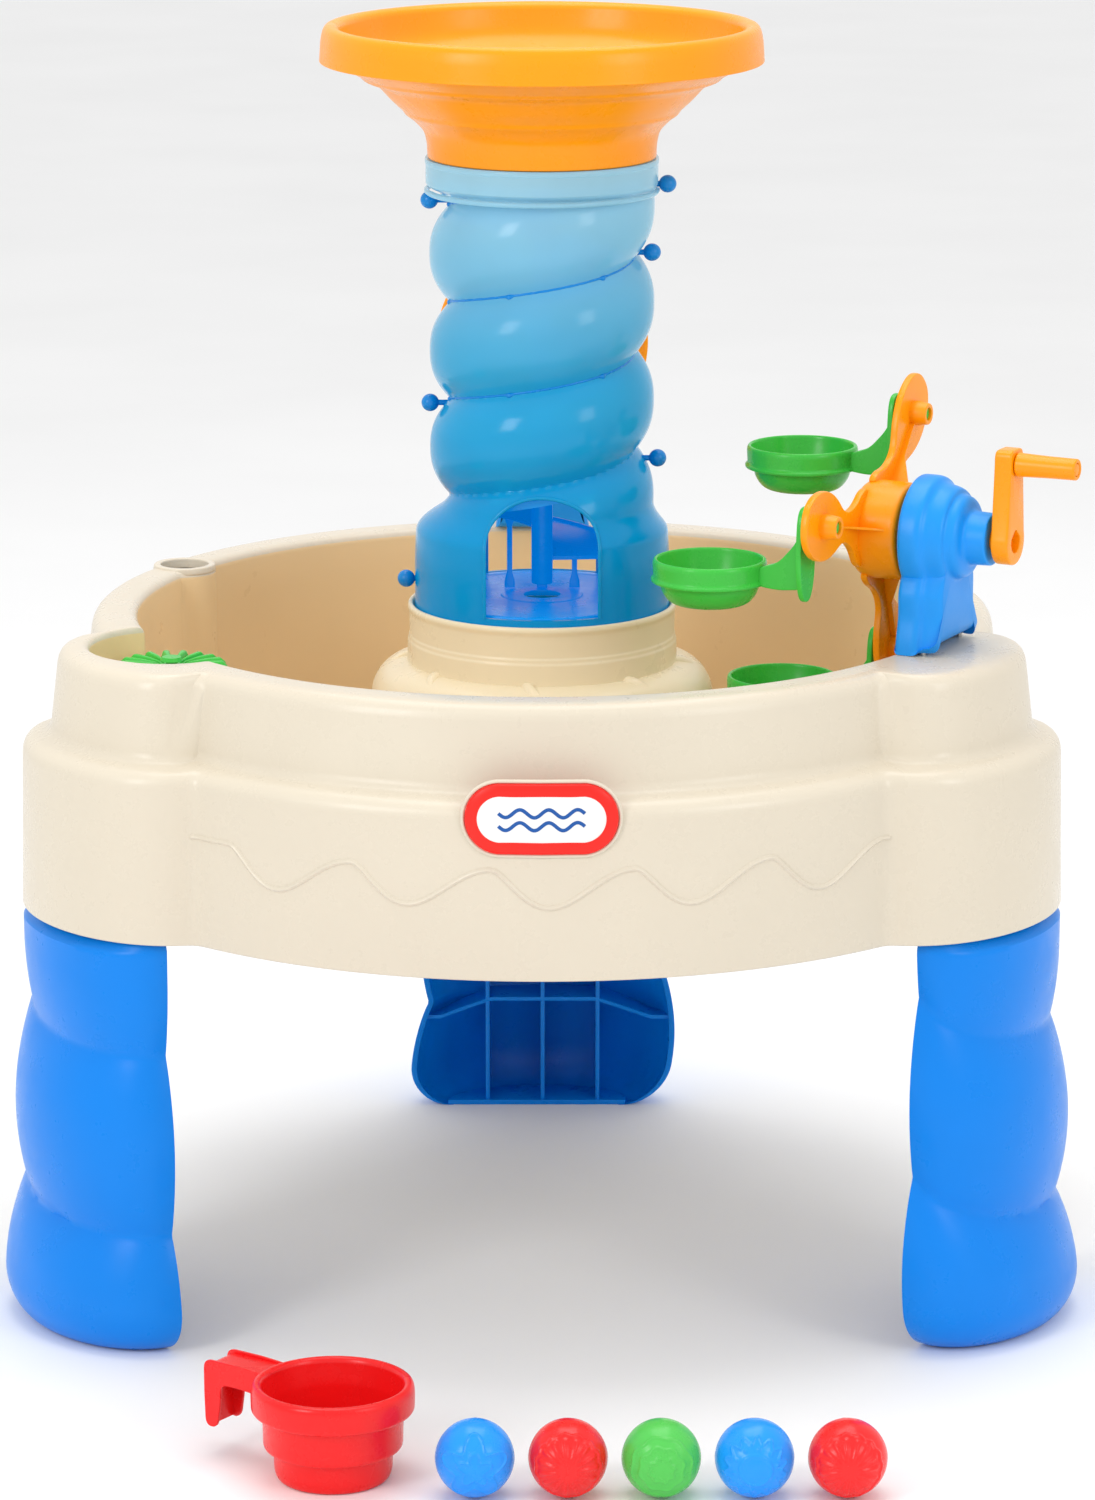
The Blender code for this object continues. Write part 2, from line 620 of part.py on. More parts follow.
def make_spider(mat, frame):
    """The hub with three spoon-shaped arms, bored for the axle and the cups' pins."""
    low, high = HUB_ENDS
    hub = about_x(turned("wheel_spider", [
        (HUB_R - 0.005, low), (HUB_R, low + 0.004), (HUB_R, high - 0.004), (HUB_R - 0.004, high)], 24))
    outline = ARM_SIDE + [(-side, out) for side, out in reversed(ARM_SIDE)]
    for k in range(3):
        arm = slab("arm", outline, *ARM_FACES)
        arm.data.transform(Matrix(((0, 0, 1, 0), (1, 0, 0, 0), (0, 1, 0, 0), (0, 0, 0, 1))))
        arm.data.transform(Matrix.Rotation(-math.radians(ARM_PHASE - 120.0 * k), 4, "X"))
        add(hub, arm)
        y, z = arm_point(k, ARM_R)
        add(hub, rod("boss", PIN_BOSS_R, (PIN_BOSS_ENDS[0], y, z), (PIN_BOSS_ENDS[1], y, z), 16))
    cut_away(hub, rod("bore", AXLE_R + GAP, (-0.05, 0, 0), (0.05, 0, 0), 16))
    for k in range(3):
        y, z = arm_point(k, ARM_R)
        cut_away(hub, rod("pin_bore", PIN_R + GAP, (-0.03, y, z), (0.03, y, z), 12))
    return hang(dress(hub, mat), frame)


def make_axle(mat, frame):
    """The axle, from the hub's inner end to a recessed end in the crank's arm."""
    profile = [(AXLE_R, HUB_ENDS[0] + 0.001), (AXLE_R, CRANK_AT - 0.0005)]
    return hang(about_x(turned("wheel_axle", profile, 16, mat)), frame)


def make_crank(mat, grip_mat, frame):
    """The crank arm and its turning grip."""
    outline = []
    for k in range(9):
        turn = math.pi * k / 8
        outline.append((CRANK_TOP_R * math.cos(turn), CRANK_ARM + CRANK_TOP_R * math.sin(turn)))
    for k in range(13):
        turn = math.radians(160.0 + 220.0 * k / 12)
        outline.append((CRANK_END_R * math.cos(turn), CRANK_END_R * math.sin(turn)))
    arm = slab("crank_arm", outline, CRANK_AT - CRANK_HALF, CRANK_AT + CRANK_HALF)
    arm.data.transform(Matrix(((0, 0, 1, 0), (1, 0, 0, 0), (0, 1, 0, 0), (0, 0, 0, 1))))
    cut_away(arm, rod("bore", AXLE_R + GAP, (0.08, 0, 0), (0.14, 0, 0), 16))
    add(arm, rod("spindle", 0.0045, (CRANK_AT, 0, CRANK_ARM), (CRANK_AT + 0.0525, 0, CRANK_ARM), 12))
    grip = about_x(turned("crank_grip", [
        (0.0049, CRANK_AT + 0.0070), (0.0090, CRANK_AT + 0.0070), (0.0086, CRANK_AT + 0.0110),
        (0.0080, CRANK_AT + 0.0300), (0.0078, CRANK_AT + 0.0515), (0.0065, CRANK_AT + 0.0530),
        (0.0049, CRANK_AT + 0.0530)], 16, looped=True))
    grip.data.transform(Matrix.Translation((0, 0, CRANK_ARM)))
    return [hang(dress(arm, mat), frame), hang(dress(grip, grip_mat), frame, (CRANK_AT, 0, CRANK_ARM))]


def make_bracket(mat, frame):
    """The stand that carries the wheel's axle: a stepped bearing on a waisted column and foot."""
    bearing = about_x(turned("wheel_bracket", [
        (0.0400, 0.0335), (0.0430, 0.0355), (0.0430, 0.0490), (0.0385, 0.0530), (0.0355, 0.0650),
        (0.0310, 0.0665), (0.0290, 0.0735), (0.0196, 0.0765), (0.0190, 0.0925)], 24))
    drop = RIM_Z + GAP - WHEEL_Z
    rings = []
    for z, half in ((drop, 0.0432), (drop + 0.010, 0.0425), (drop + 0.026, 0.0385), (drop + 0.045, 0.0392),
                    (0.0, 0.0405)):
        rings.append([Vector((BRACKET_NEAR, -half, z)), Vector((BRACKET_FAR, -half, z)),
                      Vector((BRACKET_FAR, half, z)), Vector((BRACKET_NEAR, half, z))])
    add(bearing, skin("column", rings))
    cut_away(bearing, rod("bore", AXLE_R + 0.0004, (0.0, 0, 0), (0.12, 0, 0), 16))
    for y in (-0.034, 0.034):
        cut_away(bearing, rod("pilot", 0.0022, (0.053, y, drop - 0.01), (0.053, y, drop + 0.0045), 10))
    return hang(dress(bearing, mat), frame)


def make_cup(k, mat, frame):
    """A round cup with a deep band and a flange, on a gusset under a leaf-shaped plate that hangs
    from its pin."""
    lip = -CUP_DROP
    floor = lip - CUP_DEPTH
    cup = turned("cup_%d" % (k + 1), [
        (0.0120, floor + 0.0004), (0.0235, floor + 0.0004), (0.0300, floor + 0.0030), (0.0352, lip - 0.0235),
        (0.0362, lip - 0.0168), (CUP_R, lip - 0.0165), (CUP_R, lip - 0.0145), (0.0410, lip - 0.0130),
        (0.0412, lip), (0.0380, lip), (0.0352, lip - 0.0145), (0.0320, lip - 0.0250),
        (0.0240, floor + 0.0034), (0.0120, floor + 0.0034)], 18)
    cup.data.transform(Matrix.Translation((-CUP_OUT, 0, 0)))
    leaf = LEAF_SIDE + [(-side, z) for side, z in reversed(LEAF_SIDE)]
    plate = slab("plate", leaf, *LEAF_FACES)
    plate.data.transform(Matrix(((0, 0, 1, 0), (1, 0, 0, 0), (0, 1, 0, 0), (0, 0, 0, 1))))
    gusset = slab("gusset", GUSSET, -0.0042, 0.0042)
    gusset.data.transform(Matrix(((1, 0, 0, 0), (0, 0, 1, 0), (0, 1, 0, 0), (0, 0, 0, 1))))
    add(plate, rod("pin", PIN_R, (LEAF_FACES[0] + 0.002, 0, 0), (PIN_END, 0, 0), 12))
    add(plate, gusset)
    add(cup, plate)
    y, z = arm_point(k, ARM_R)
    cup.data.transform(Matrix.Translation((0, y, z)))
    return hang(dress(cup, mat), frame, (0, y, z))


# ---------------------------------------------------------------- rear wheel

def make_rear_wheel(mat, frame):
    """A drum with radial blades between two thin discs' worth of width."""
    drum = about_x(turned("rear_wheel", [(0.0250, -0.0130), (0.0280, -0.0110), (0.0280, 0.0110),
                                         (0.0250, 0.0130)], 16))
    add(drum, about_x(turned("disc", [(REAR_R, -0.0020),
                                      (REAR_R, 0.0020)], 24)))
    for k in range(REAR_BLADES):
        blade = block("blade", (-0.0120, -0.0015, 0.020), (0.0120, 0.0015, REAR_R - 0.006))
        blade.data.transform(Matrix.Rotation(math.tau * k / REAR_BLADES, 4, "X"))
        add(drum, blade)
    cut_away(drum, rod("bore", 0.0063, (-0.05, 0, 0), (0.05, 0, 0), 14))
    return hang(dress(drum, mat), frame)


def make_rear_bracket(mat, axle_mat, frame):
    drop = RIM_Z + GAP - REAR_Z
    head = about_x(turned("rear_bracket", [(0.0150, 0.0190), (0.0260, 0.0215), (0.0260, 0.0560),
                                           (0.0180, 0.0600)], 20))
    rings = []
    for z, half, near, far in ((drop, 0.0380, 0.0400, 0.0720), (drop + 0.006, 0.0380, 0.0400, 0.0720),
                               (drop + 0.018, 0.0240, 0.0400, 0.0620), (0.0, 0.0200, 0.0300, 0.0540)):
        rings.append([Vector((near, -half, z)), Vector((far, -half, z)),
                      Vector((far, half, z)), Vector((near, half, z))])
    add(head, skin("column", rings))
    cut_away(head, rod("bore", 0.0063, (-0.01, 0, 0), (0.08, 0, 0), 14))
    for y in (-0.030, 0.030):
        cut_away(head, rod("pilot", 0.0022, (0.056, y, drop - 0.01), (0.056, y, drop + 0.0045), 10))
    pin = about_x(turned("rear_axle", [(0.0100, -0.0170), (0.0100, -0.0133), (0.0060, -0.0133),
                                       (0.0060, 0.0603), (0.0095, 0.0603), (0.0095, 0.0635)], 14))
    return [hang(dress(head, mat), frame), hang(dress(pin, axle_mat), frame)]


def screw_places():
    """Shelf points under the two brackets' feet, as (x, y, bracket)."""
    places = []
    for reach, across, yaw, owner in ((WHEEL_REACH + 0.053, 0.034, WHEEL_YAW, "wheel"),
                                      (REAR_REACH + 0.056, 0.030, 90.0, "rear")):
        turn = math.radians(yaw)
        for side in (-1.0, 1.0):
            x = reach * math.cos(turn) - side * across * math.sin(turn)
            y = reach * math.sin(turn) + side * across * math.cos(turn)
            places.append((x, y, owner))
    return places


def make_screws(mat, frame):
    """Self-tapping screws driven up through the shelf into the brackets' feet."""
    screws = []
    for k, (x, y, owner) in enumerate(screw_places()):
        under = RIM_Z - 0.0055 - GAP
        profile = [(0.0030, under - 0.0028), (0.0046, under - 0.0012), (0.0046, under),
                   (0.0019, under), (0.0019, RIM_Z + 0.0035)]
        screw = turned("%s_bracket_screw_%d" % (owner, k % 2 + 1), profile, 10, mat)
        screw.data.transform(Matrix.Translation((x, y, 0)))
        screws.append(hang(screw, frame, (x, y, RIM_Z)))
    return screws


# ---------------------------------------------------------------- pocket spinner

def make_spinner(mat, frame):
    """A disc with raised radial ribs that turns on a pin in the pocket."""
    at = polar(*SPINNER_AT)
    low = POCKET_FLOOR + 0.0035
    ribs = 12
    rings = []
    for radius, flat, rise in ((0.0048, 0.0120, 0.0), (0.0120, 0.0120, 0.0), (0.0155, 0.0075, 0.0045),
                               (SPINNER_R - 0.0045, 0.0075, 0.0045), (SPINNER_R, 0.0045, 0.0020),
                               (SPINNER_R, 0.0, 0.0), (0.0048, 0.0, 0.0)):
        ring = []
        for j in range(ribs * 2):
            lift = rise if j % 2 else 0.0
            ring.append(polar(radius, 360.0 * j / (ribs * 2), low + flat + lift))
        rings.append(ring)
    disc = skin("pocket_spinner", rings, looped=True)
    disc.data.transform(Matrix.Translation((at.x, at.y, 0)))
    pin = turned("spinner_pin", [(0.0060, POCKET_FLOOR - 0.0105), (0.0060, POCKET_FLOOR - 0.0043),
                                 (0.0042, POCKET_FLOOR - 0.0043), (0.0042, low + 0.0123),
                                 (0.0085, low + 0.0123), (0.0070, low + 0.0150)], 14)
    pin.data.transform(Matrix.Translation((at.x, at.y, 0)))
    return [hang(dress(disc, mat), frame, (at.x, at.y, low)), hang(dress(pin, mat), frame, (at.x, at.y, low))]


# ---------------------------------------------------------------- loose accessories

def make_scoop(mat, frame):
    """A cup in three steps with a hooked handle of channel section."""
    top = SCOOP_H
    outer = [(0.0370, 0.0), (0.0402, 0.0040), (0.0410, 0.0215), (0.0470, 0.0232), (0.0484, 0.0465),
             (0.0545, 0.0485), (0.0563, 0.0520), (0.0563, 0.0620), (0.0545, top)]
    inner = [(0.0495, top), (0.0478, 0.0600), (0.0456, 0.0490), (0.0450, 0.0260), (0.0386, 0.0240),
             (0.0375, 0.0042)]
    cup = turned("scoop_cup", outer + inner, 24)
    path = [(-0.0490, top - 0.0010, 0.0140), (-0.0920, top, 0.0165), (-0.0990, top - 0.0030, 0.0165),
            (-HANDLE_OUT, top - 0.0100, 0.0160), (-HANDLE_OUT, 0.0480, 0.0135), (-HANDLE_OUT, HANDLE_FOOT_Z, 0.0100)]
    half = HANDLE_HALF
    web = 0.0045
    side = 0.0025
    rings = []
    for k, (x, z, deep) in enumerate(path):
        before = path[max(k - 1, 0)]
        after = path[min(k + 1, len(path) - 1)]
        way = Vector((after[0] - before[0], 0.0, after[1] - before[1])).normalized()
        out = Vector((way.z, 0.0, -way.x))
        section = ((0.0, -half), (0.0, half), (-deep, half), (-deep, half - side), (-web, half - side),
                   (-web, side - half), (-deep, side - half), (-deep, -half))
        rings.append([Vector((x, y, z)) + out * a for a, y in section])
    add(cup, skin("handle", rings))
    cup.data.transform(Matrix.Rotation(math.radians(SCOOP_YAW), 4, "Z"))
    cup.data.transform(Matrix.Translation((SCOOP_AT[0], SCOOP_AT[1], 0)))
    return hang(dress(cup, mat), frame, (SCOOP_AT[0], SCOOP_AT[1], 0))


def make_balls(mats, frame):
    balls = []
    for k, colour in enumerate(BALL_COLOURS):
        centre = (BALL_X + (k - 2) * BALL_STEP, BALL_Y, BALL_R)
        profile = [(BALL_R * math.sin(math.pi * j / 8), -BALL_R * math.cos(math.pi * j / 8)) for j in range(9)]
        sides = 12
        points = [Vector((0, 0, -BALL_R))]
        points += [polar(r, 360.0 * j / sides, z) for r, z in profile[1:-1] for j in range(sides)]
        points.append(Vector((0, 0, BALL_R)))
        last = len(points) - 1
        faces = []
        for j in range(sides):
            n = (j + 1) % sides
            faces.append((0, 1 + n, 1 + j))
            faces.append((last, last - sides + j, last - sides + n))
            for row in range(6):
                a = 1 + row * sides
                faces.append((a + j, a + n, a + sides + n, a + sides + j))
        ball = solid("ball_%d" % (k + 1), points, faces, mats[colour])
        ball.data.transform(Matrix.Translation(centre))
        balls.append(hang(ball, frame, centre))
    return balls


def main():
    clear_scene()
    cream = plastic("cream_plastic", (0.83, 0.75, 0.59), 0.40)
    pale = plastic("pale_cream_plastic", (0.80, 0.68, 0.46), 0.40)
    blue = plastic("blue_plastic", (0.0, 0.24, 0.82), 0.36)
    clear_blue = plastic("clear_blue_plastic", (0.0, 0.40, 0.80), 0.16, 0.75)
    dark_blue = plastic("dark_blue_plastic", (0.0, 0.16, 0.50), 0.35)
    orange = plastic("orange_plastic", (1.0, 0.34, 0.0), 0.32)
    green = plastic("green_plastic", (0.08, 0.52, 0.04), 0.32)
    red = plastic("red_plastic", (0.78, 0.02, 0.02), 0.32)
    white = plastic("white_plastic", (0.85, 0.85, 0.83), 0.45)
    steel = plastic("plated_steel", (0.62, 0.62, 0.60), 0.30, 1.0, 1.0)

    table = empty("table_frame", None, (0.0, TOWER_Y, 0.0))
    wheel_at = polar(WHEEL_REACH, WHEEL_YAW, WHEEL_Z)
    wheel = empty("wheel_frame", table, wheel_at, WHEEL_YAW)
    rear = empty("rear_frame", table, (0.0, REAR_REACH, REAR_Z), 90.0)

    hang(make_tub(cream), table)
    make_plug(white, table)
    make_badge(white, table)
    for name in LOBE_ANGLES:
        make_leg(name, blue, table)

    make_base(pale, table)
    make_tower_half("tower_front", -180.0, clear_blue, table)
    make_tower_half("tower_rear", 0.0, clear_blue, table)
    make_studs(blue, table)
    make_floor(dark_blue, table)
    make_ramp(dark_blue, table)
    make_funnel(orange, table)
    make_pivot(steel, table)

    make_spider(orange, wheel)
    make_axle(orange, wheel)
    make_crank(orange, orange, wheel)
    make_bracket(blue, wheel)
    for k in range(3):
        make_cup(k, green, wheel)

    make_rear_wheel(orange, rear)
    make_rear_bracket(blue, white, rear)
    make_screws(steel, table)
    make_spinner(green, table)

    make_scoop(red, table)
    make_balls({"blue": blue, "red": red, "green": green}, table)


main()
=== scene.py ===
import json
import math

import bmesh
import bpy
import numpy as np
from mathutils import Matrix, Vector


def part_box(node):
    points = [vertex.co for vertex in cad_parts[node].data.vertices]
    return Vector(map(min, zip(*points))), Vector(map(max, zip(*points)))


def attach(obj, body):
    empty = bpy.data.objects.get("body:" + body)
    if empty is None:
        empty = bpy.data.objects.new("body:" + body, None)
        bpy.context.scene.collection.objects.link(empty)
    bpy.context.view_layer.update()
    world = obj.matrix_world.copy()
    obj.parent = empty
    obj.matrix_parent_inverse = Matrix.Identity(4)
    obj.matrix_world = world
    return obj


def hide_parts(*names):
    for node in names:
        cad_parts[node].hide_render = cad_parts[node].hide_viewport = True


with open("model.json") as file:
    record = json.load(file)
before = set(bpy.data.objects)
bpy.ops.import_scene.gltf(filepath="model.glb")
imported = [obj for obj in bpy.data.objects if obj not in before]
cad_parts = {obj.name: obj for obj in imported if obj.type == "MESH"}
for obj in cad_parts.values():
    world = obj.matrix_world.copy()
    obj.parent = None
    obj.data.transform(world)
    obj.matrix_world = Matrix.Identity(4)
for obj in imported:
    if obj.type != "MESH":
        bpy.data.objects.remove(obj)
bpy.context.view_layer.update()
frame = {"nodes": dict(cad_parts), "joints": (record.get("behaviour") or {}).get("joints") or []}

# ------------------------------------------------------------------ sizes, all in metres

BASE_LOW, BASE_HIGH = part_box("stirrer_base")
GAP = 0.0003  # clearance between touching pieces
RIM_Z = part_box("tub")[1].z
SKIRT_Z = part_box("tub")[0].z
LEDGE_Z = 0.430
FLOOR_Z = 0.352
BASIN_R = 0.3035
WALL_R = 0.343
SKIRT_GROW = 0.0245
WALL = 0.005
LOBE_ANGLES = {"front_left": -150.0, "front_right": -30.0, "rear": 90.0}
LOBE_REACH = {"front_left": 0.341, "front_right": 0.341, "rear": 0.323}
LOBE_SIDE = 0.0865
LOBE_END = 0.052
BOSS_R = 0.048
BOSS_TOP = 0.394
PIVOT_R = 0.0065
DRAIN_AT = (0.006, -0.200)
DRAIN_R = 0.012
SOCKET_AT = (0.3135, 152.5)
SOCKET_R = 0.0242
SOCKET_FLOOR = 0.462
WAVE_Z = 0.3755
WAVE_SWING = 0.0135
WAVE_PERIOD = 15.8
BADGE_Z = 0.4262
POCKET_AT = (0.304, -153.0)
POCKET_SIZE = (0.058, 0.064)
POCKET_FLOOR = 0.470
LEG_SETBACK = 0.023
LEG_SIDE = 0.0940
LEG_DEPTH = 0.0455
LEG_FLARE = {"front_left": 0.0082, "front_right": 0.0082, "rear": 0.0}
LEG_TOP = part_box("leg_rear")[1].z
LEG_WALL = 0.0045
LEG_RIB_STEP = 0.0456
LEG_TUCK_Z = 0.034
LEG_PINCHES = (0.0885, 0.2225)
TOWER_FOOT_Z, TOWER_TOP_Z = (corner.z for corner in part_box("tower_front"))
TOWER_PITCH = 0.0728
TOWER_PHASE_Z = 0.730
TOWER_WAIST_R = 0.0686
TOWER_BULGE = 0.0150
TOWER_WALL = 0.003
TOWER_FOOT_R = 0.0955
TOWER_COLLAR_R = 0.0862
DOOR_HALF = 0.0414
DOOR_SPRING_Z = 0.560
DOOR_FOOT_Z = 0.5076
RAMP_OUT = 0.0645
RAMP_ZERO_Z = 0.5328
RAMP_THICK = 0.0030
VANES = 8
FUNNEL_TOP_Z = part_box("funnel")[1].z
WHEEL_Z = 0.5825
ARM_R = 0.0993
ARM_PHASE = 40.9
PIN_R = 0.0045
AXLE_R = 0.008
CUP_OUT = 0.088
CUP_DROP = 0.031
CUP_DEPTH = 0.034
CRANK_AT = 0.103
CRANK_ARM = 0.0565
REAR_Z = 0.655
REAR_BLADES = 8
BALL_R = 0.0277
BALL_RELIEF = 0.0009
STUD_R = 0.0066
SCOOP_AT = (-0.1425, -0.516)
SCOOP_YAW = -35.0
SCOOP_H = 0.068
HANDLE_HALF = 0.0142
HANDLE_WALL = 0.0024


# ------------------------------------------------------------------ shapes worked out on grids

def heading(degrees):
    """A frame turned about the upright axis: its columns are the local x, y and z directions."""
    turn = math.radians(degrees)
    c, s = math.cos(turn), math.sin(turn)
    return np.array([[c, -s, 0.0], [s, c, 0.0], [0.0, 0.0, 1.0]])


JOINTS = {joint["name"]: joint for joint in frame["joints"]}
CENTRE = np.array([(BASE_LOW.x + BASE_HIGH.x) / 2, (BASE_LOW.y + BASE_HIGH.y) / 2, 0.0])
WHEEL_YAW = math.degrees(math.atan2(JOINTS["wheel_spin"]["axis"][1], JOINTS["wheel_spin"]["axis"][0]))
TABLE_HOME = (CENTRE, np.eye(3))
WHEEL_HOME = (np.array(JOINTS["wheel_spin"]["pos_m"]), heading(WHEEL_YAW))
REAR_HOME = (np.array(JOINTS["rear_wheel_spin"]["pos_m"]), heading(90.0))


def rounded(rings, reach, steps=4, closed=False):
    """Rings with softened corners. Each ring between two others gives way to a short curve
    (1-t)^2 a + 2t(1-t) corner + t^2 b, where a and b lie up to `reach` back and forward along the
    lines to its neighbours."""
    rings = np.asarray(rings, float)
    reach = np.broadcast_to(np.asarray(reach, float), (len(rings),)).reshape(-1, 1, 1)

    def lean(other):
        way = other - rings
        length = np.linalg.norm(way, axis=-1, keepdims=True) + 1e-12
        return rings + way * np.minimum(reach / length, 0.5)

    start, end = lean(np.roll(rings, 1, 0))[:, None], lean(np.roll(rings, -1, 0))[:, None]
    t = np.linspace(0.0, 1.0, steps + 1)[None, :, None, None]
    curve = (1 - t) ** 2 * start + 2 * t * (1 - t) * rings[:, None] + t * t * end
    if not closed:
        curve[0], curve[-1] = rings[0], rings[-1]
    return curve.reshape(-1, *rings.shape[1:])


def smooth_loop(corners, reach=1.0, steps=6):
    """A closed outline whose corners give way to curves; with a long reach it is curved all round."""
    return rounded(np.array(corners, float)[:, None, :], reach, steps, True)[:, 0]


def polar(radius, degrees, z):
    """Points by distance from the upright axis, bearing and height."""
    turn = np.radians(degrees)
    radius, z = np.broadcast_arrays(radius + 0.0 * turn, z + 0.0 * turn)
    return np.stack([radius * np.cos(turn), radius * np.sin(turn), z], -1)


def lathe(profile, sides=72, reach=0.0012, steps=3, closed=False):
    """A profile of (radius, height) pairs turned about the upright axis, its corners softened.
    A profile that isn't closed starts and ends on the axis."""
    turn = np.linspace(0.0, 360.0, sides, endpoint=False)
    rings = np.stack([polar(r, turn, z) for r, z in profile])
    return rounded(rings, reach, steps, closed), closed, True, False


def sweep(path, section, up=(0.0, 0.0, 1.0), loop=False):
    """A closed section of (across, upward) pairs carried along a path: point = path + across * side
    + upward * rise, where side is square to the path and to `up`."""
    path = np.asarray(path, float)
    if loop:
        ahead = np.roll(path, -1, 0) - np.roll(path, 1, 0)
    else:
        ahead = np.gradient(path, axis=0)
    ahead /= np.linalg.norm(ahead, axis=-1, keepdims=True)
    side = np.cross(ahead, np.broadcast_to(up, path.shape))
    side /= np.linalg.norm(side, axis=-1, keepdims=True)
    rise = np.cross(side, ahead)
    section = np.asarray(section, float)
    across, upward = section[..., 0:1], section[..., 1:2]
    grid = path[:, None] + across * side[:, None] + upward * rise[:, None]
    return grid, loop, True, not loop


def round_section(radius, count=12):
    turn = np.linspace(0.0, 2 * np.pi, count, endpoint=False)
    return np.stack([radius * np.cos(turn), radius * np.sin(turn)], -1)


def pulled_in(outline, amount):
    """A closed flat outline moved inwards, square to itself."""
    way = np.roll(outline, -1, 0) - np.roll(outline, 1, 0)
    area = np.sum(outline[:, 0] * np.roll(outline[:, 1], -1) - np.roll(outline[:, 0], -1) * outline[:, 1])
    inward = np.stack([-way[:, 1], way[:, 0]], -1) * np.sign(area)
    return outline + amount * inward / (np.linalg.norm(way, axis=-1, keepdims=True)[:, :1] + 1e-12)


def mirrored(right):
    """An outline's right half and, in the reverse order, its mirror image."""
    return right + [(-across, up) for across, up in right[::-1]]


def levelled(outline, inner, low, high, reach, steps, closed):
    """Flat outlines at two heights: the inner one, the outer one below and above, and the inner one."""
    levels = ((inner, low), (outline, low), (outline, high), (inner, high))
    rings = [np.column_stack([line, np.full(len(line), z)]) for line, z in levels]
    return rounded(rings, reach, steps, closed), closed, True, not closed


def distinct(outline):
    return outline[np.linalg.norm(np.roll(outline, -1, 0) - outline, axis=-1) > 1e-7]


def plate(outline, low, high, edge=0.0012, steps=3):
    """A flat outline given thickness, with rounded edges: pulled in by the edge's size at both faces."""
    outline = distinct(outline)
    return levelled(outline, pulled_in(outline, edge), low, high, edge, steps, False)


def washer(outline, hole, low, high, edge=0.0012, steps=3):
    """A plate round a bored hole at its origin: each outline point faces a hole point on its bearing."""
    outline = distinct(outline)
    inner = hole * outline / np.linalg.norm(outline, axis=-1, keepdims=True)
    return levelled(outline, inner, low, high, (edge * 0.5, edge, edge, edge * 0.5), steps, True)


def turned_to(patch, matrix, shift=(0.0, 0.0, 0.0)):
    """A patch carried by a 3x3 matrix and a shift."""
    return (patch[0] @ np.asarray(matrix, float).T + np.asarray(shift, float),) + patch[1:]


def moved(patch, shift):
    return turned_to(patch, np.eye(3), shift)


LIE_ALONG_X = [[0, 0, 1], [0, 1, 0], [-1, 0, 0]]
FACE_ALONG_X = [[0, 0, 1], [1, 0, 0], [0, 1, 0]]
STAND_UP = [[1, 0, 0], [0, 0, 1], [0, 1, 0]]


def lean_about_x(degrees):
    """A turn about the axle that carries straight up to the bearing given, from up towards +y."""
    c, s = math.cos(math.radians(degrees)), math.sin(math.radians(degrees))
    return np.array([[1, 0, 0], [0, c, s], [0, -s, c]])


def grid_faces(rows, cols, loop_rows, loop_cols, first):
    i = np.arange(rows if loop_rows else rows - 1)[:, None]
    j = np.arange(cols if loop_cols else cols - 1)[None, :]
    below, beside = (i + 1) % rows, (j + 1) % cols
    corners = np.broadcast_arrays(i * cols + j, i * cols + beside, below * cols + beside, below * cols + j)
    return (np.stack(corners, -1).reshape(-1, 4) + first).tolist()


def piece(name, patches, finish, body, stands_for=(), home=TABLE_HOME, sharp=40.0):
    """One mesh of several patches, each a grid of points with word on which way it closes."""
    points, faces, count = [], [], 0
    for grid, loop_rows, loop_cols, ends in patches:
        rows, cols = grid.shape[:2]
        points.append(grid.reshape(-1, 3))
        faces += grid_faces(rows, cols, loop_rows, loop_cols, count)
        if ends:
            faces.append(list(range(count, count + cols)))
            faces.append(list(range(count + (rows - 1) * cols, count + rows * cols)))
        count += rows * cols
    points = np.concatenate(points) @ home[1].T + home[0]
    mesh = bpy.data.meshes.new(name)
    mesh.from_pydata(points.tolist(), [], faces)
    made = bpy.data.objects.new(name, mesh)
    bpy.context.scene.collection.objects.link(made)
    close_up(made)
    smooth(made, sharp)
    mesh.materials.append(finish)
    if body:
        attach(made, body)
        if stands_for:
            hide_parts(*stands_for)
    return made


def close_up(made):
    """Merges doubled points, drops what they leave behind and turns every face outwards."""
    shape = bmesh.new()
    shape.from_mesh(made.data)
    bmesh.ops.remove_doubles(shape, verts=shape.verts, dist=4e-6)
    bmesh.ops.recalc_face_normals(shape, faces=shape.faces)
    shape.to_mesh(made.data)
    shape.free()


def smooth(made, sharp):
    made.data.shade_smooth()
    made.data.set_sharp_from_angle(angle=math.radians(sharp))


def cut(made, cutter):
    """Takes one closed piece out of another and throws the cutter away."""
    change = made.modifiers.new("cut", "BOOLEAN")
    change.operation = "DIFFERENCE"
    change.solver = "EXACT"
    change.object = cutter
    bpy.context.view_layer.update()
    graph = bpy.context.evaluated_depsgraph_get()
    mesh = bpy.data.meshes.new_from_object(made.evaluated_get(graph))
    made.modifiers.clear()
    made.data = mesh
    bpy.data.objects.remove(cutter, do_unlink=True)
    smooth(made, 40.0)


# ------------------------------------------------------------------ finishes

def linear(r, g, b):
    """A colour given from 0 to 255 as the linear values that a shader takes."""
    shares = (r / 255, g / 255, b / 255)
    return tuple(c / 12.92 if c <= 0.04045 else ((c + 0.055) / 1.055) ** 2.4 for c in shares)


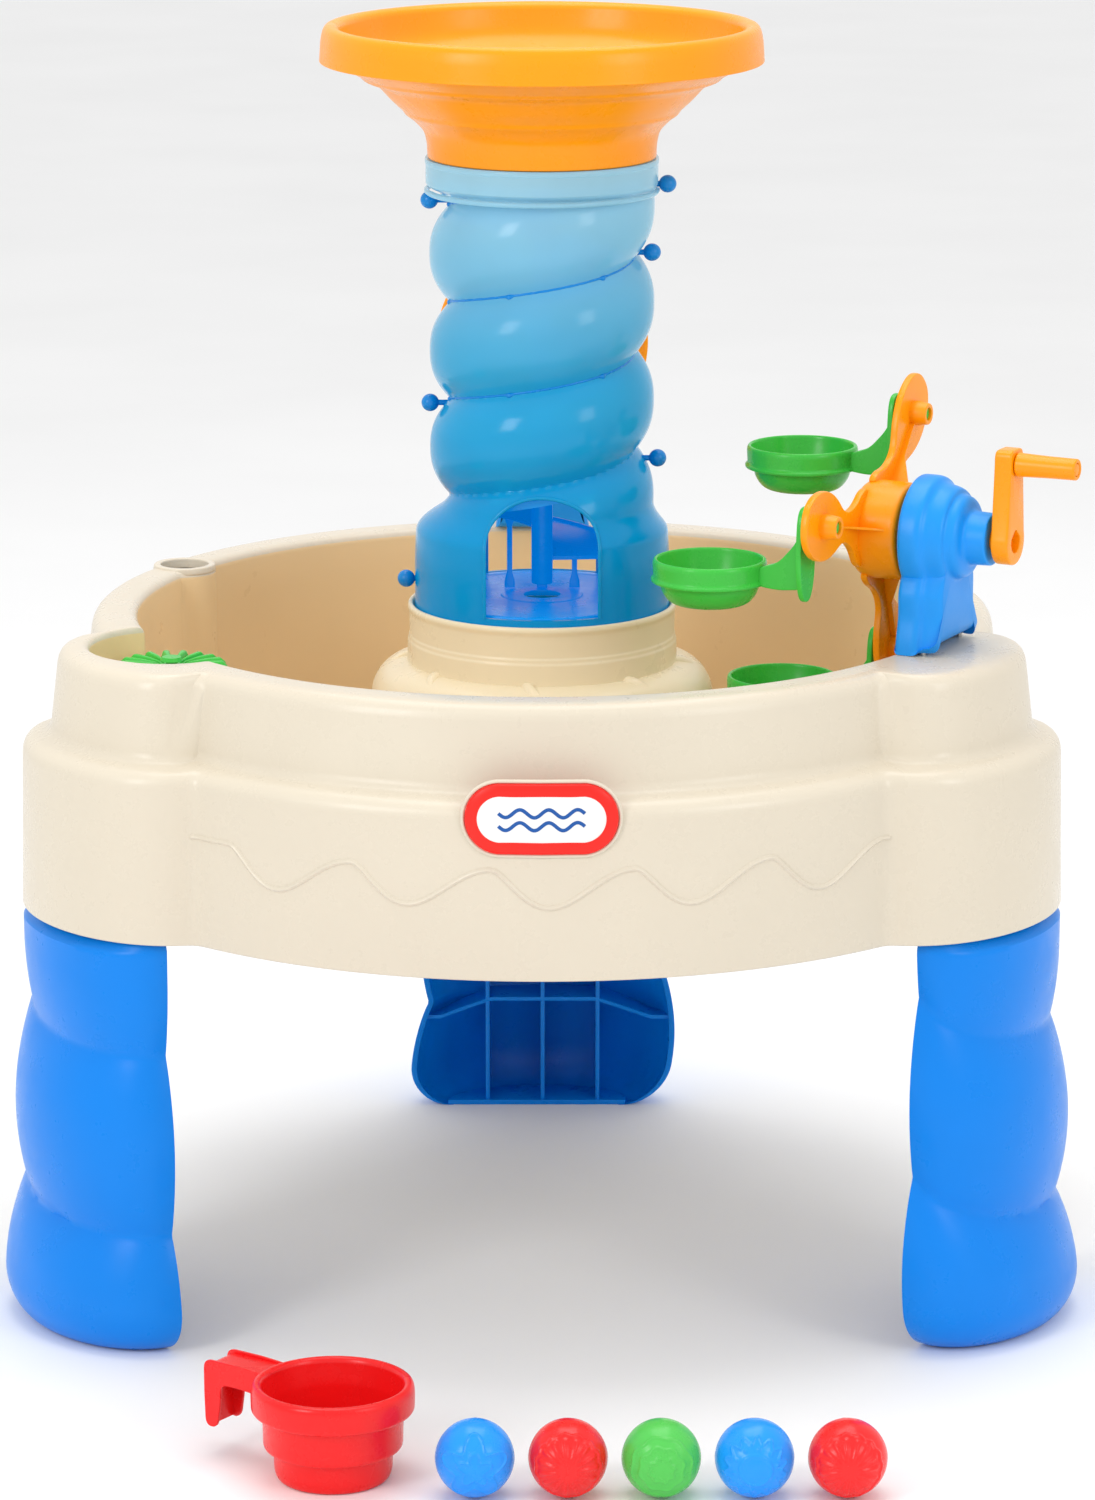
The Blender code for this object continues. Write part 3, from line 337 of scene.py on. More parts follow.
class Mix:
    """Small helper that adds nodes to one material and joins them up."""

    def __init__(self, name):
        self.material = bpy.data.materials.new(name)
        self.material.use_nodes = True
        self.tree = self.material.node_tree
        self.shader = self.tree.nodes["Principled BSDF"]
        self.spot = self.add("ShaderNodeTexCoord").outputs["Object"]

    def add(self, kind, **values):
        node = self.tree.nodes.new(kind)
        for key, value in values.items():
            setattr(node, key, value)
        return node

    def join(self, start, end):
        self.tree.links.new(start, end)

    def noise(self, scale, detail=3.0, rough=0.5, stretch=None):
        node = self.add("ShaderNodeTexNoise")
        node.inputs["Scale"].default_value = scale
        node.inputs["Detail"].default_value = detail
        node.inputs["Roughness"].default_value = rough
        spot = self.spot
        if stretch:
            bend = self.add("ShaderNodeMapping")
            bend.inputs["Scale"].default_value = stretch
            self.join(spot, bend.inputs["Vector"])
            spot = bend.outputs["Vector"]
        self.join(spot, node.inputs["Vector"])
        return node.outputs["Fac"]

    def between(self, value, low, high, to_low, to_high):
        node = self.add("ShaderNodeMapRange")
        for key, number in (("From Min", low), ("From Max", high), ("To Min", to_low), ("To Max", to_high)):
            node.inputs[key].default_value = number
        self.join(value, node.inputs["Value"])
        return node.outputs["Result"]

    def ramp(self, value, stops):
        node = self.add("ShaderNodeValToRGB")
        edge = node.color_ramp.elements
        edge[0].position, edge[0].color = stops[0][0], (*stops[0][1], 1.0)
        edge[1].position, edge[1].color = stops[-1][0], (*stops[-1][1], 1.0)
        for place, colour in stops[1:-1]:
            edge.new(place).color = (*colour, 1.0)
        self.join(value, node.inputs["Fac"])
        return node.outputs["Color"]

    def blend(self, how, amount, first, second):
        node = self.add("ShaderNodeMix", data_type="RGBA", blend_type=how)
        for key, value in ((0, amount), (6, first), (7, second)):
            if isinstance(value, (float, tuple)):
                node.inputs[key].default_value = value if isinstance(value, float) else (*value, 1.0)
            else:
                self.join(value, node.inputs[key])
        return node.outputs[2]

    def bump(self, value, strength, distance, below=None):
        node = self.add("ShaderNodeBump")
        node.inputs["Strength"].default_value = strength
        node.inputs["Distance"].default_value = distance
        self.join(value, node.inputs["Height"])
        if below:
            self.join(below, node.inputs["Normal"])
        return node.outputs["Normal"]

    def colour(self, value):
        self.join(value, self.shader.inputs["Base Color"])


def tinted(colour, gain):
    return tuple(min(1.0, c * gain) for c in colour)


def moulded(name, colour, rough=0.36, grain=0.10, pebble=900.0, drift=0.07, gloss=0.34, painted_glow=0.0):
    """Moulded plastic: slow drifts of tone from the colourant, a fine eggshell grain, patches of wear
    that shine a little less, and faint flow streaks. `painted_glow` is painted light: emission in the
    surface's own colour, standing in for light that seeps through."""
    mix = Mix(name)
    slow = mix.noise(5.0, 4.0, 0.55)
    tone = mix.ramp(slow, [(0.3, tinted(colour, 1.0 - drift)), (0.7, tinted(colour, 1.0 + drift * 0.6))])
    streak = mix.between(mix.noise(14.0, 5.0, 0.6, (1.0, 1.0, 0.25)), 0.35, 0.65, 1.0 - drift * 0.35, 1.0)
    mix.colour(mix.blend("MULTIPLY", 1.0, tone, streak))
    wear = mix.noise(38.0, 6.0, 0.65)
    mix.join(mix.between(wear, 0.35, 0.7, rough - 0.05, rough + 0.09), mix.shader.inputs["Roughness"])
    waviness = mix.bump(mix.noise(24.0, 2.0), 0.08, 0.0008)
    mix.join(mix.bump(mix.noise(pebble, 2.0, 0.6), grain, 0.00012, waviness), mix.shader.inputs["Normal"])
    mix.shader.inputs["Specular IOR Level"].default_value = gloss
    # painted light: the part glows in its own colour although it is no lamp
    if painted_glow:
        mix.shader.inputs["Emission Color"].default_value = (*colour, 1.0)
        mix.shader.inputs["Emission Strength"].default_value = painted_glow
    return mix.material


def clear_moulded(name, stops, rough=0.15, through=0.32, painted_glow=0.14):
    """Tinted see-through plastic: milky, deeper towards its foot, with faint flow marks. `painted_glow`
    is painted light: emission in the tint's colour, standing in for the light that the thin walls scatter."""
    mix = Mix(name)
    depth = mix.add("ShaderNodeSeparateXYZ")
    mix.join(mix.spot, depth.inputs["Vector"])
    height = mix.between(depth.outputs["Z"], TOWER_FOOT_Z, TOWER_TOP_Z, 0.0, 1.0)
    cloud = mix.between(mix.noise(9.0, 3.0), 0.3, 0.7, 0.93, 1.05)
    tint = mix.blend("MULTIPLY", 1.0, mix.ramp(height, stops), cloud)
    mix.colour(tint)
    # painted glow: the tint also lights the shell as emission, more strongly where the tint is paler
    mix.join(tint, mix.shader.inputs["Emission Color"])
    mix.shader.inputs["Emission Strength"].default_value = painted_glow
    dull = mix.between(mix.noise(30.0, 5.0), 0.3, 0.7, rough - 0.04, rough + 0.08)
    mix.join(dull, mix.shader.inputs["Roughness"])
    mix.join(mix.bump(mix.noise(60.0, 3.0), 0.06, 0.0006), mix.shader.inputs["Normal"])
    mix.shader.inputs["Transmission Weight"].default_value = through
    mix.shader.inputs["IOR"].default_value = 1.30
    return mix.material


def plated(name):
    """Zinc-plated steel with fine turning marks and dull patches."""
    mix = Mix(name)
    mix.colour(mix.ramp(mix.noise(160.0, 4.0), [(0.3, (0.46, 0.46, 0.45)), (0.7, (0.66, 0.66, 0.64))]))
    mix.join(mix.between(mix.noise(220.0, 4.0), 0.3, 0.7, 0.24, 0.44), mix.shader.inputs["Roughness"])
    mix.join(mix.bump(mix.noise(700.0, 2.0, 0.5, (1.0, 1.0, 6.0)), 0.12, 0.0002), mix.shader.inputs["Normal"])
    mix.shader.inputs["Metallic"].default_value = 1.0
    return mix.material


cream = moulded("cream_moulding", linear(216, 206, 187), 0.28, 0.07, 700.0, 0.025)
# painted shade and bounce light: the basin's inside takes a warmer, deeper cream than the tub's own
painted_basin_shade = moulded("basin_painted_shade_and_bounce", linear(234, 206, 160), 0.32, 0.07, 700.0, 0.03)
pale_cream = moulded("pale_cream_moulding", linear(234, 220, 188), 0.30, 0.07, 700.0, 0.025)
# the legs' blue carries painted glow (0.22): emission in its own colour that lightens them beyond what the
# lamps give
leg_blue_painted_glow = moulded("leg_blue_painted_glow", linear(0, 128, 226), 0.31, 0.08, 800.0, 0.05, 0.22)
bracket_blue = moulded("bracket_blue", linear(16, 146, 236), 0.36, 0.08, 800.0, 0.05)
# the track's blue carries painted glow (0.40): emission that lights the inside of the tower, standing in for
# light that comes through its walls
ramp_blue_painted_glow = moulded("ramp_blue_painted_glow", linear(0, 136, 212), 0.30, 0.05, 900.0, 0.05, painted_glow=0.40)
seam_blue = moulded("seam_blue", linear(0, 132, 212), 0.26, 0.04, 900.0, 0.05)
orange = moulded("orange_moulding", linear(252, 154, 0), 0.28, 0.05, 900.0, 0.05)
green = moulded("green_moulding", linear(62, 190, 66), 0.26, 0.05, 900.0, 0.06)
red = moulded("red_moulding", linear(238, 24, 26), 0.26, 0.05, 900.0, 0.05)
badge_red = moulded("badge_red", linear(250, 30, 18), 0.34, 0.04, 900.0, 0.03)
white = moulded("white_moulding", linear(238, 238, 234), 0.38, 0.06, 900.0, 0.02)
wave_blue = moulded("badge_wave_blue", linear(20, 84, 160), 0.36, 0.04, 900.0, 0.03)
ball_blue = moulded("ball_blue", linear(28, 150, 250), 0.24, 0.05, 900.0, 0.05)
ball_red = moulded("ball_red", linear(238, 34, 34), 0.24, 0.05, 900.0, 0.05)
ball_green = moulded("ball_green", linear(84, 196, 84), 0.24, 0.05, 900.0, 0.05)
steel = plated("plated_steel")
clear_blue = clear_moulded("clear_blue", [
    (0.0, linear(0, 150, 206)), (0.25, linear(0, 156, 210)), (0.55, linear(46, 170, 214)),
    (0.85, linear(134, 194, 218)), (1.0, linear(160, 204, 222))])


# ------------------------------------------------------------------ tub

def smooth_max(first, second, soft):
    """The larger of two numbers with the change-over rounded off."""
    return 0.5 * (first + second + np.sqrt((first - second) ** 2 + soft * soft))


def smooth_min(first, second, soft):
    return -smooth_max(-first, -second, soft)


def ellipse_crossing(turn, angle, reach, across, along, which):
    """Where a ray leaves (which = 1) or meets (-1) an ellipse standing off the axis: the roots of
    a r^2 + b r + c = 0, carried on smoothly for rays that miss."""
    off = np.radians((turn - angle + 180.0) % 360.0 - 180.0)
    a = (np.cos(off) / along) ** 2 + (np.sin(off) / across) ** 2
    b = -2.0 * reach * np.cos(off) / along ** 2
    root = b * b - 4.0 * a * ((reach / along) ** 2 - 1.0)
    radius = (-b + which * np.sign(root) * np.sqrt(np.abs(root))) / (2.0 * a)
    return np.where(np.cos(off) > 0.2, radius, 0.0 if which > 0 else 1.0)


def outline(turn, grow):
    """The tub's plan: a circle with three oval lobes, the valleys between them softened."""
    best = WALL_R + grow + 0.0 * turn
    for name, angle in LOBE_ANGLES.items():
        lobe = ellipse_crossing(turn, angle, LOBE_REACH[name], LOBE_SIDE + grow, LOBE_END + grow, 1)
        best = smooth_max(best, lobe, 0.007)
    return best


def pocket_line(turn, radius):
    """The rim's inner line: the basin's circle, opened out by the spinner pocket."""
    pocket = ellipse_crossing(turn, POCKET_AT[1], POCKET_AT[0], POCKET_SIZE[1], POCKET_SIZE[0], 1)
    return smooth_min(smooth_max(radius, pocket, 0.0016), socket_line(turn), 0.004)


def pod_line(turn, radius):
    """The basin's wall below the pocket's floor, pushed in by the pocket's pod."""
    across, along = POCKET_SIZE[1] + 0.004, POCKET_SIZE[0] + 0.004
    pod = ellipse_crossing(turn, POCKET_AT[1], POCKET_AT[0], across, along, -1)
    return smooth_min(smooth_min(radius + 0.0 * turn, pod, 0.003), socket_line(turn), 0.004)


def socket_line(turn):
    return ellipse_crossing(turn, SOCKET_AT[1], SOCKET_AT[0], SOCKET_R, SOCKET_R, -1)


def tub_bearings(count):
    """Bearings evenly spaced along whichever of the tub's outlines moves fastest."""
    fine = np.linspace(0.0, 360.0, 9001)
    walk = np.zeros(len(fine) - 1)
    for line in (outline(fine, SKIRT_GROW), pocket_line(fine, BASIN_R), pod_line(fine, BASIN_R)):
        walk = np.maximum(walk, np.linalg.norm(np.diff(polar(line, fine, 0.0), axis=0), axis=-1))
    walk = np.concatenate([[0.0], np.cumsum(walk)])
    return np.interp(np.linspace(0.0, walk[-1], count + 1)[:-1], walk, fine)


def skirt_grow(z):
    """How far the skirt stands out at a height, with its mould's draft."""
    return SKIRT_GROW - 0.0025 * (z - SKIRT_Z) / (LEDGE_Z + 0.0035 - SKIRT_Z)


def make_tub():
    turn = tub_bearings(560)
    under = FLOOR_Z - WALL

    def wall(grow, z, reach):
        return polar(outline(turn, grow), turn, z), reach

    def rim(step, z, reach):
        return polar(pocket_line(turn, BASIN_R + step), turn, z), reach

    def pod(step, z, reach, extra=0.0):
        return polar(pod_line(turn, BASIN_R + step) + extra, turn, z), reach

    def circle(radius, z, reach):
        return polar(radius, turn, z), reach

    rows = [
        wall(SKIRT_GROW, SKIRT_Z, 0.0015), wall(SKIRT_GROW - 0.0025, LEDGE_Z + 0.0035, 0.011),
        wall(0.0012, LEDGE_Z + 0.0085, 0.007), wall(-0.0065, RIM_Z, 0.012),
        rim(0.0005, RIM_Z, 0.0075), rim(-0.001, POCKET_FLOOR, 0.005), pod(-0.001, POCKET_FLOOR, 0.003),
        pod(-0.0045, FLOOR_Z, 0.016), circle(BOSS_R + 0.010, FLOOR_Z, 0.009), circle(BOSS_R, BOSS_TOP, 0.003),
        circle(PIVOT_R, BOSS_TOP, 0.0008), circle(PIVOT_R, BOSS_TOP - WALL, 0.0008),
        circle(BOSS_R - WALL, BOSS_TOP - WALL, 0.002), circle(BOSS_R + 0.003, under, 0.006),
        pod(-0.0045, under, 0.010, 0.003), pod(-0.001, POCKET_FLOOR - 0.004, 0.003, 0.0045),
        rim(0.0038, POCKET_FLOOR - 0.004, 0.003), rim(0.0046, RIM_Z - 0.0055, 0.003),
        wall(-0.0115, RIM_Z - 0.0055, 0.004), wall(-0.0040, LEDGE_Z + 0.0045, 0.003),
        wall(SKIRT_GROW - 0.0075, LEDGE_Z - 0.0015, 0.004), wall(SKIRT_GROW - 0.005, SKIRT_Z, 0.0015),
    ]
    rings, reach = zip(*rows)
    tub = piece("tub_shell", [(rounded(rings, reach, 5, True), True, True, False)], cream, "table",
                ["tub"])
    tub.data.materials.append(painted_basin_shade)
    at = polar(SOCKET_AT[0], SOCKET_AT[1], 0.0)
    recess = [(0, SOCKET_FLOOR), (0.0165, SOCKET_FLOOR), (0.0180, 0.496), (0.0192, 0.5040), (0, 0.5040)]
    recess = lathe(recess, 48, 0.002)
    drain = lathe([(0, 0.330), (DRAIN_R, 0.330), (DRAIN_R, 0.370), (0, 0.370)], 32, 0.0001, 1)
    cut(tub, piece("cutter", [moved(recess, at), moved(drain, (*DRAIN_AT, 0.0))], cream, None))
    # The faces inside the basin, from its floor to just under the rim, take the second finish: painted shade
    # and bounce light.
    middles = np.empty(len(tub.data.polygons) * 3)
    tub.data.polygons.foreach_get("center", middles)
    middles = middles.reshape(-1, 3) - CENTRE
    bearing = np.degrees(np.arctan2(middles[:, 1], middles[:, 0]))
    inside = np.hypot(middles[:, 0], middles[:, 1]) < pocket_line(bearing, BASIN_R) + 0.0012
    inside &= (middles[:, 2] > FLOOR_Z - 0.001) & (middles[:, 2] < RIM_Z - 0.004)
    tub.data.polygons.foreach_set("material_index", inside.astype(np.int32))
    collar = lathe([(0.0183, 0.4965), (0.0186, 0.5016), (0.0236, 0.5016), (0.0246, 0.4965)],
                   48, 0.0012, 3, True)
    piece("socket_collar", [moved(collar, at)], cream, "table")


def make_wave_line():
    """The raised line on the skirt's front: height = middle + swing * cos(2 pi u^0.75), where u runs from
    one crest to the next, so each crest drops quickly and climbs back slowly."""
    turn = np.linspace(-132.6, -47.7, 420)
    first_crest = -127.0
    u = ((turn - first_crest) / WAVE_PERIOD) % 1.0
    z = WAVE_Z + WAVE_SWING * np.cos(2 * np.pi * u ** 0.75)
    z = np.where(turn < first_crest, WAVE_Z + WAVE_SWING, z)
    kernel = np.hanning(7)
    padded = np.pad(z, 3, mode="edge")
    z = np.convolve(padded, kernel / kernel.sum(), mode="valid")
    path = polar(outline(turn, skirt_grow(z)) - 0.0001, turn, z)
    out = polar(1.0, turn, 0.0)
    across = np.array([-0.0024, -0.0014, 0.0, 0.0014, 0.0024, 0.0])
    rise = np.array([-0.0004, 0.0011, 0.0017, 0.0011, -0.0004, -0.0008])
    line = sweep(path, np.stack([across, rise], -1), out)
    piece("skirt_wave_line", [line], cream, "table")


def stadium(width, height, count=72):
    """A long outline with half-round ends."""
    turn = np.linspace(0.0, 2 * np.pi, count, endpoint=False)
    end = 0.5 * height
    shift = np.sign(np.cos(turn)) * (0.5 * width - end) * (np.abs(np.cos(turn)) > 1e-9)
    return np.stack([end * np.cos(turn) + shift, end * np.sin(turn)], -1)


def on_skirt(flat, depth):
    """Carries flat (across, up) points onto the front of the skirt, standing `depth` proud of it."""
    skirt = outline(np.array([-90.0]), SKIRT_GROW - 0.0015)[0]
    x, z = flat[..., 0], flat[..., 1]
    return np.stack([x, -np.sqrt((skirt + depth) ** 2 - x * x), BADGE_Z + z], -1)


def make_badge():
    """A stadium-shaped plate with a red border and a plain face that carries two raised waves."""
    def disc(width, height, low, high, edge):
        rim = stadium(width, height)
        rings = [on_skirt(rim, low), on_skirt(rim, high - edge), on_skirt(pulled_in(rim, edge), high)]
        rings += [on_skirt(rim * s, high) for s in (0.8, 0.6, 0.4, 0.2, 0.0)]
        return np.stack(rings), False, True, False

    piece("badge_border", [disc(0.1070, 0.0500, -0.004, 0.0036, 0.0009)], badge_red, "table",
          ["badge_plate"], sharp=50.0)
    face = disc(0.0900, 0.0330, 0.000, 0.0041, 0.0005)
    piece("badge_face", [face], white, "table", sharp=50.0)
    ring = sweep(on_skirt(stadium(0.1105, 0.0535), 0.0004), round_section(0.0014, 10),
                 np.array([0.0, -1.0, 0.0]), True)
    piece("badge_surround", [ring], cream, "table")
    waves = []
    for rise in (-0.0046, 0.0046):
        x = np.linspace(-0.030, 0.030, 120)
        flat = np.stack([x, rise + 0.0028 * np.sin(2 * np.pi * x / 0.020)], -1)
        section = np.array([(-0.0014, -0.0004), (-0.0012, 0.0003), (0.0012, 0.0003), (0.0014, -0.0004)])
        waves.append(sweep(on_skirt(flat, 0.0041), section, np.array([0.0, -1.0, 0.0])))
    piece("badge_waves", waves, wave_blue, "table")


# ------------------------------------------------------------------ legs

def leg_growth(s, z):
    """How far a leg swells at a height: two bulges sin(pi u)^0.8 and half of a third between two
    pinches, tucked in a little where the leg goes up into the skirt."""
    first, second = LEG_PINCHES

    def bulge(start, end):
        return np.clip(np.sin(np.pi * np.clip((s - start) / (end - start), 0, 1)), 0, 1) ** 0.8

    low = 0.0195 * bulge(-0.050, first)
    mid = np.interp(s, LEG_PINCHES, (0.0, -0.0065)) + 0.0125 * bulge(first, second)
    top = -0.0065 + 0.0065 * np.sin(0.5 * np.pi * np.clip((s - second) / 0.055, 0, 1)) ** 0.8
    tuck = -0.006 * np.clip((z - 0.302) / 0.016, 0, 1)
    return np.where(s < first, low, np.where(s < second, mid, top)) + tuck


def leg_size(z, turn, flare):
    """Half-width and depth of a leg's shell at a height and a turn round the shell from 0 to pi: the
    pinches climb with the fourth power of the turn, the front deepens below the skirt and the foot
    tucks in."""
    grow = leg_growth(z - 0.044 * (turn / np.pi) ** 4, z)
    tuck = 1.0 - np.sqrt(1.0 - np.clip(1.0 - z / LEG_TUCK_Z, 0, 1) ** 2)
    flare = flare * np.clip((0.3075 - z) / 0.0075, 0, 1)
    return LEG_SIDE + 0.80 * grow - 0.030 * tuck, LEG_DEPTH + 1.05 * grow + flare - 0.018 * tuck


def make_leg(name):
    """A half-round shell swollen like a rope's strands, whose pinches climb towards one edge, with a
    sole, three upright ribs and an arched level one inside."""
    back = LOBE_REACH[name] + LEG_SETBACK
    foot = LEG_TUCK_Z * (1.0 - np.cos(np.linspace(0.0, 0.5 * np.pi, 14)))
    z = [foot, np.linspace(LEG_TUCK_Z + 0.003, 0.300, 80), np.linspace(0.3025, LEG_TOP, 30)]
    z = np.concatenate(z)[:, None]
    arc = np.linspace(0.0, np.pi, 56)[None, :]
    flare = LEG_FLARE[name]
    side, depth = leg_size(z, arc, flare)

    def skin(inset):
        return np.stack([back + (depth - inset) * np.sin(arc), (side - inset) * np.cos(arc),
                         z + 0.0 * arc], -1)

    lip = skin(0.5 * LEG_WALL)
    lip = lip - np.array([0.0006, 0.0, 0.0])
    outer, inner = skin(0.0), skin(LEG_WALL)
    shell = np.concatenate([outer, lip[:, -1:], inner[:, ::-1], lip[:, :1]], axis=1)
    patches = [(shell, False, True, True)]
    sole = outer[0, ::2, :2] - np.array([0.0018, 0.0]) * np.sign(outer[0, ::2, :1] - back)
    patches.append(plate(sole, 0.0001, 0.0040, 0.0010))

    for y in (-LEG_RIB_STEP, 0.0, LEG_RIB_STEP):
        tall = np.linspace(0.0015, LEG_TOP - 0.002, 60)
        half, deep = leg_size(tall, np.arccos(y / LEG_SIDE), flare)
        far = deep * np.sqrt(1.0 - (y / half) ** 2) - 0.5 * LEG_WALL
        near = np.full_like(tall, 0.003)
        edge = near + 0.0008
        spots = ((edge, -0.0016), (far, -0.0018), (far, 0.0018), (edge, 0.0016), (near, 0.0))
        rib = np.stack([np.stack([back + x, y + w + 0.0 * tall, tall], -1) for x, w in spots], 1)
        patches.append((rib, False, True, True))

    across = np.linspace(-1.0, 1.0, 81)
    for base, arch in ((0.0750, 0.0155), (0.3300, 0.0)):
        level = base + arch * np.clip(1.5 * np.cos(0.5 * np.pi * across * 1.15), 0, 1)
        half, deep = leg_size(level, np.arccos(across), flare)
        y = across * (half - 0.6 * LEG_WALL)
        far = np.maximum((deep - 0.5 * LEG_WALL) * np.sqrt(1.0 - np.clip(np.abs(across), 0, 1) ** 2), 0.0036)
        near = np.full_like(y, 0.0035)
        spots = ((near, -0.0015), (far, -0.0015), (far, 0.0015), (near, 0.0015), (near - 0.0006, 0.0))
        shelf = np.stack([np.stack([back + x, y, level + w], -1) for x, w in spots], 0)
        patches.append((shelf.transpose(1, 0, 2), False, True, True))
    patches = [turned_to(patch, heading(LOBE_ANGLES[name])) for patch in patches]
    piece("leg_shell_" + name, patches, leg_blue_painted_glow, "table", ["leg_" + name], sharp=45.0)


# ------------------------------------------------------------------ turning base, tower and funnel

def make_base():
    """The ring the tower stands on, over a domed flange with eight swept vanes."""
    body = lathe([
        (0.0967, 0.5020), (0.0982, 0.5034), (0.1004, 0.5030), (0.1012, 0.5000), (0.0999, 0.4965),
        (0.0997, 0.4800), (0.1004, 0.4788), (0.1004, 0.4765), (0.1012, 0.4750), (0.1016, 0.4560),
        (0.1016, 0.3620), (0.0980, 0.3620), (0.0980, 0.4838), (0.0150, 0.4838), (0.0150, 0.3943),
        (0.0065, 0.3943), (0.0065, 0.4877), (0.0950, 0.4877)], 128, 0.0012, 3, True)
    dome = lathe([(0.0990, 0.4600), (0.1080, 0.4588), (0.1200, 0.4535), (0.1270, 0.4430), (0.1290, 0.4340),
                  (0.1290, 0.4240), (0.1262, 0.4240), (0.1255, 0.4340), (0.1165, 0.4490), (0.0990, 0.4545)],
                 128, 0.006, 4, True)
    patches = [body, dome]
    for k in range(VANES):
        bearing = 360.0 / VANES * k - 6.0
        reach = np.linspace(0.100, 0.1262, 14)
        bend = bearing + 9.0 * ((reach - 0.100) / 0.026) ** 1.5
        crest = 0.4605 - 0.024 * ((reach - 0.100) / 0.027) ** 2.2
        rise = []
        for half, top in ((0.0060, -0.0030), (0.0050, -0.0005), (0.0032, 0.0013), (0.0, 0.0020),
                          (-0.0032, 0.0013), (-0.0050, -0.0005), (-0.0060, -0.0030)):
            rise.append(polar(reach, bend + np.degrees(half / reach), crest + top))
        rise.append(polar(reach, bend - np.degrees(0.0045 / reach), 0.3640))
        rise.append(polar(reach, bend + np.degrees(0.0045 / reach), 0.3640))
        patches.append((np.stack(rise, 1), False, True, True))
    piece("turning_base", patches, pale_cream, "turret", ["stirrer_base"])


def tower_radius(turn, z):
    """One thread of round bulges, waist + bulge * (1 - |2s|^2.4) with s the distance from a bulge's
    middle in turns, run into a flared foot and a plain collar."""
    s = (z - TOWER_PHASE_Z - TOWER_PITCH * turn / 360.0) / TOWER_PITCH
    s = s - np.floor(s + 0.5)
    radius = TOWER_WAIST_R + TOWER_BULGE * (1.0 - np.abs(2.0 * s) ** 2.4)
    foot = np.clip((0.580 - z) / 0.022, 0, 1)
    foot = foot * foot * (3.0 - 2.0 * foot)
    flare = TOWER_FOOT_R - 0.0035 * np.clip((z - 0.530) / 0.05, 0, 1) ** 2
    top = np.clip((z - 0.812) / 0.008, 0, 1)
    top = top * top * (3.0 - 2.0 * top)
    radius = radius + (flare - radius) * foot
    return radius + (TOWER_COLLAR_R - radius) * top


def door_outline(half, spring, foot, count=24):
    turn = np.linspace(0.0, np.pi, count)
    arch = np.stack([half * np.cos(turn), spring + half * 0.84 * np.sin(turn)], -1)
    return np.concatenate([[(-half, foot)], [(half, foot)], arch])


def make_tower_half(name, first, node):
    """Half of the tower's thin shell, from seam to seam, with its arched doorway cut through."""
    turn = np.linspace(first + 0.1, first + 179.9, 88)
    z = np.linspace(TOWER_FOOT_Z, TOWER_TOP_Z, 212)[:, None]
    outer = tower_radius(turn[None, :], z)
    shell = np.concatenate([polar(outer, turn[None, :], z),
                            polar(outer - TOWER_WALL, turn[None, :], z)[:, ::-1]], axis=1)
    half = piece(name, [(shell, False, True, True)], clear_blue, "turret", [node])
    side = -1.0 if first < 0.0 else 1.0
    arch = door_outline(DOOR_HALF, DOOR_SPRING_Z, DOOR_FOOT_Z)
    levels = [np.stack([arch[:, 0], np.full(len(arch), side * y), arch[:, 1]], -1) for y in (0.050, 0.120)]
    cut(half, piece("cutter", [(np.stack(levels), False, True, True)], clear_blue, None))
    line = door_outline(DOOR_HALF + 0.0011, DOOR_SPRING_Z, DOOR_FOOT_Z)
    near, far = np.linspace(line[1], line[2], 14)[:-1], np.linspace(line[-1], line[0], 14)[1:]
    line = np.concatenate([near, line[2:], far])
    bearing = np.degrees(np.arcsin(line[:, 0] / tower_radius(90.0 * side, line[:, 1])))
    bearing = 90.0 * side - side * bearing if side > 0 else -90.0 + bearing
    path = polar(tower_radius(bearing, line[:, 1]) + 0.0002, bearing, line[:, 1])
    bead = sweep(path, round_section(0.0015, 10) * np.array([1.0, 0.8]), polar(1.0, bearing, 0.0))
    piece(name + "_door_bead", [bead], clear_blue, "turret")


def make_seam_line():
    """The dark line that winds up the tower's waist, with a small tab at every sixth of a turn."""
    turn = np.linspace(-530.0, 345.0, 1100)
    z = TOWER_PHASE_Z + TOWER_PITCH * (turn / 360.0 + 0.5)
    keep = (z > 0.586) & (z < 0.8105)
    turn, z = turn[keep], z[keep]
    tab = np.exp(-((np.mod(turn + 20.0, 60.0) - 30.0) / 1.6) ** 2)
    path = polar(TOWER_WAIST_R + 0.0001 + 0.0006 * tab, turn, z - 0.0006 * tab)
    size = (1.0 + 0.9 * tab)[:, None, None]
    line = sweep(path, round_section(0.00115, 10)[None] * size, polar(1.0, turn, 0.0))
    piece("tower_seam_line", [line], seam_blue, "turret")
    ring = lathe([(0.0845, 0.8160), (0.0872, 0.8150), (0.0874, 0.8130), (0.0862, 0.8115), (0.0840, 0.8120)],
                 96, 0.0008, 3, True)
    lip = lathe([(0.0858, 0.8330), (0.0868, 0.8345), (0.0866, 0.8375), (0.0850, 0.8378), (0.0845, 0.8340)],
                96, 0.0008, 3, True)
    piece("tower_collar_rings", [ring, lip], clear_blue, "turret")


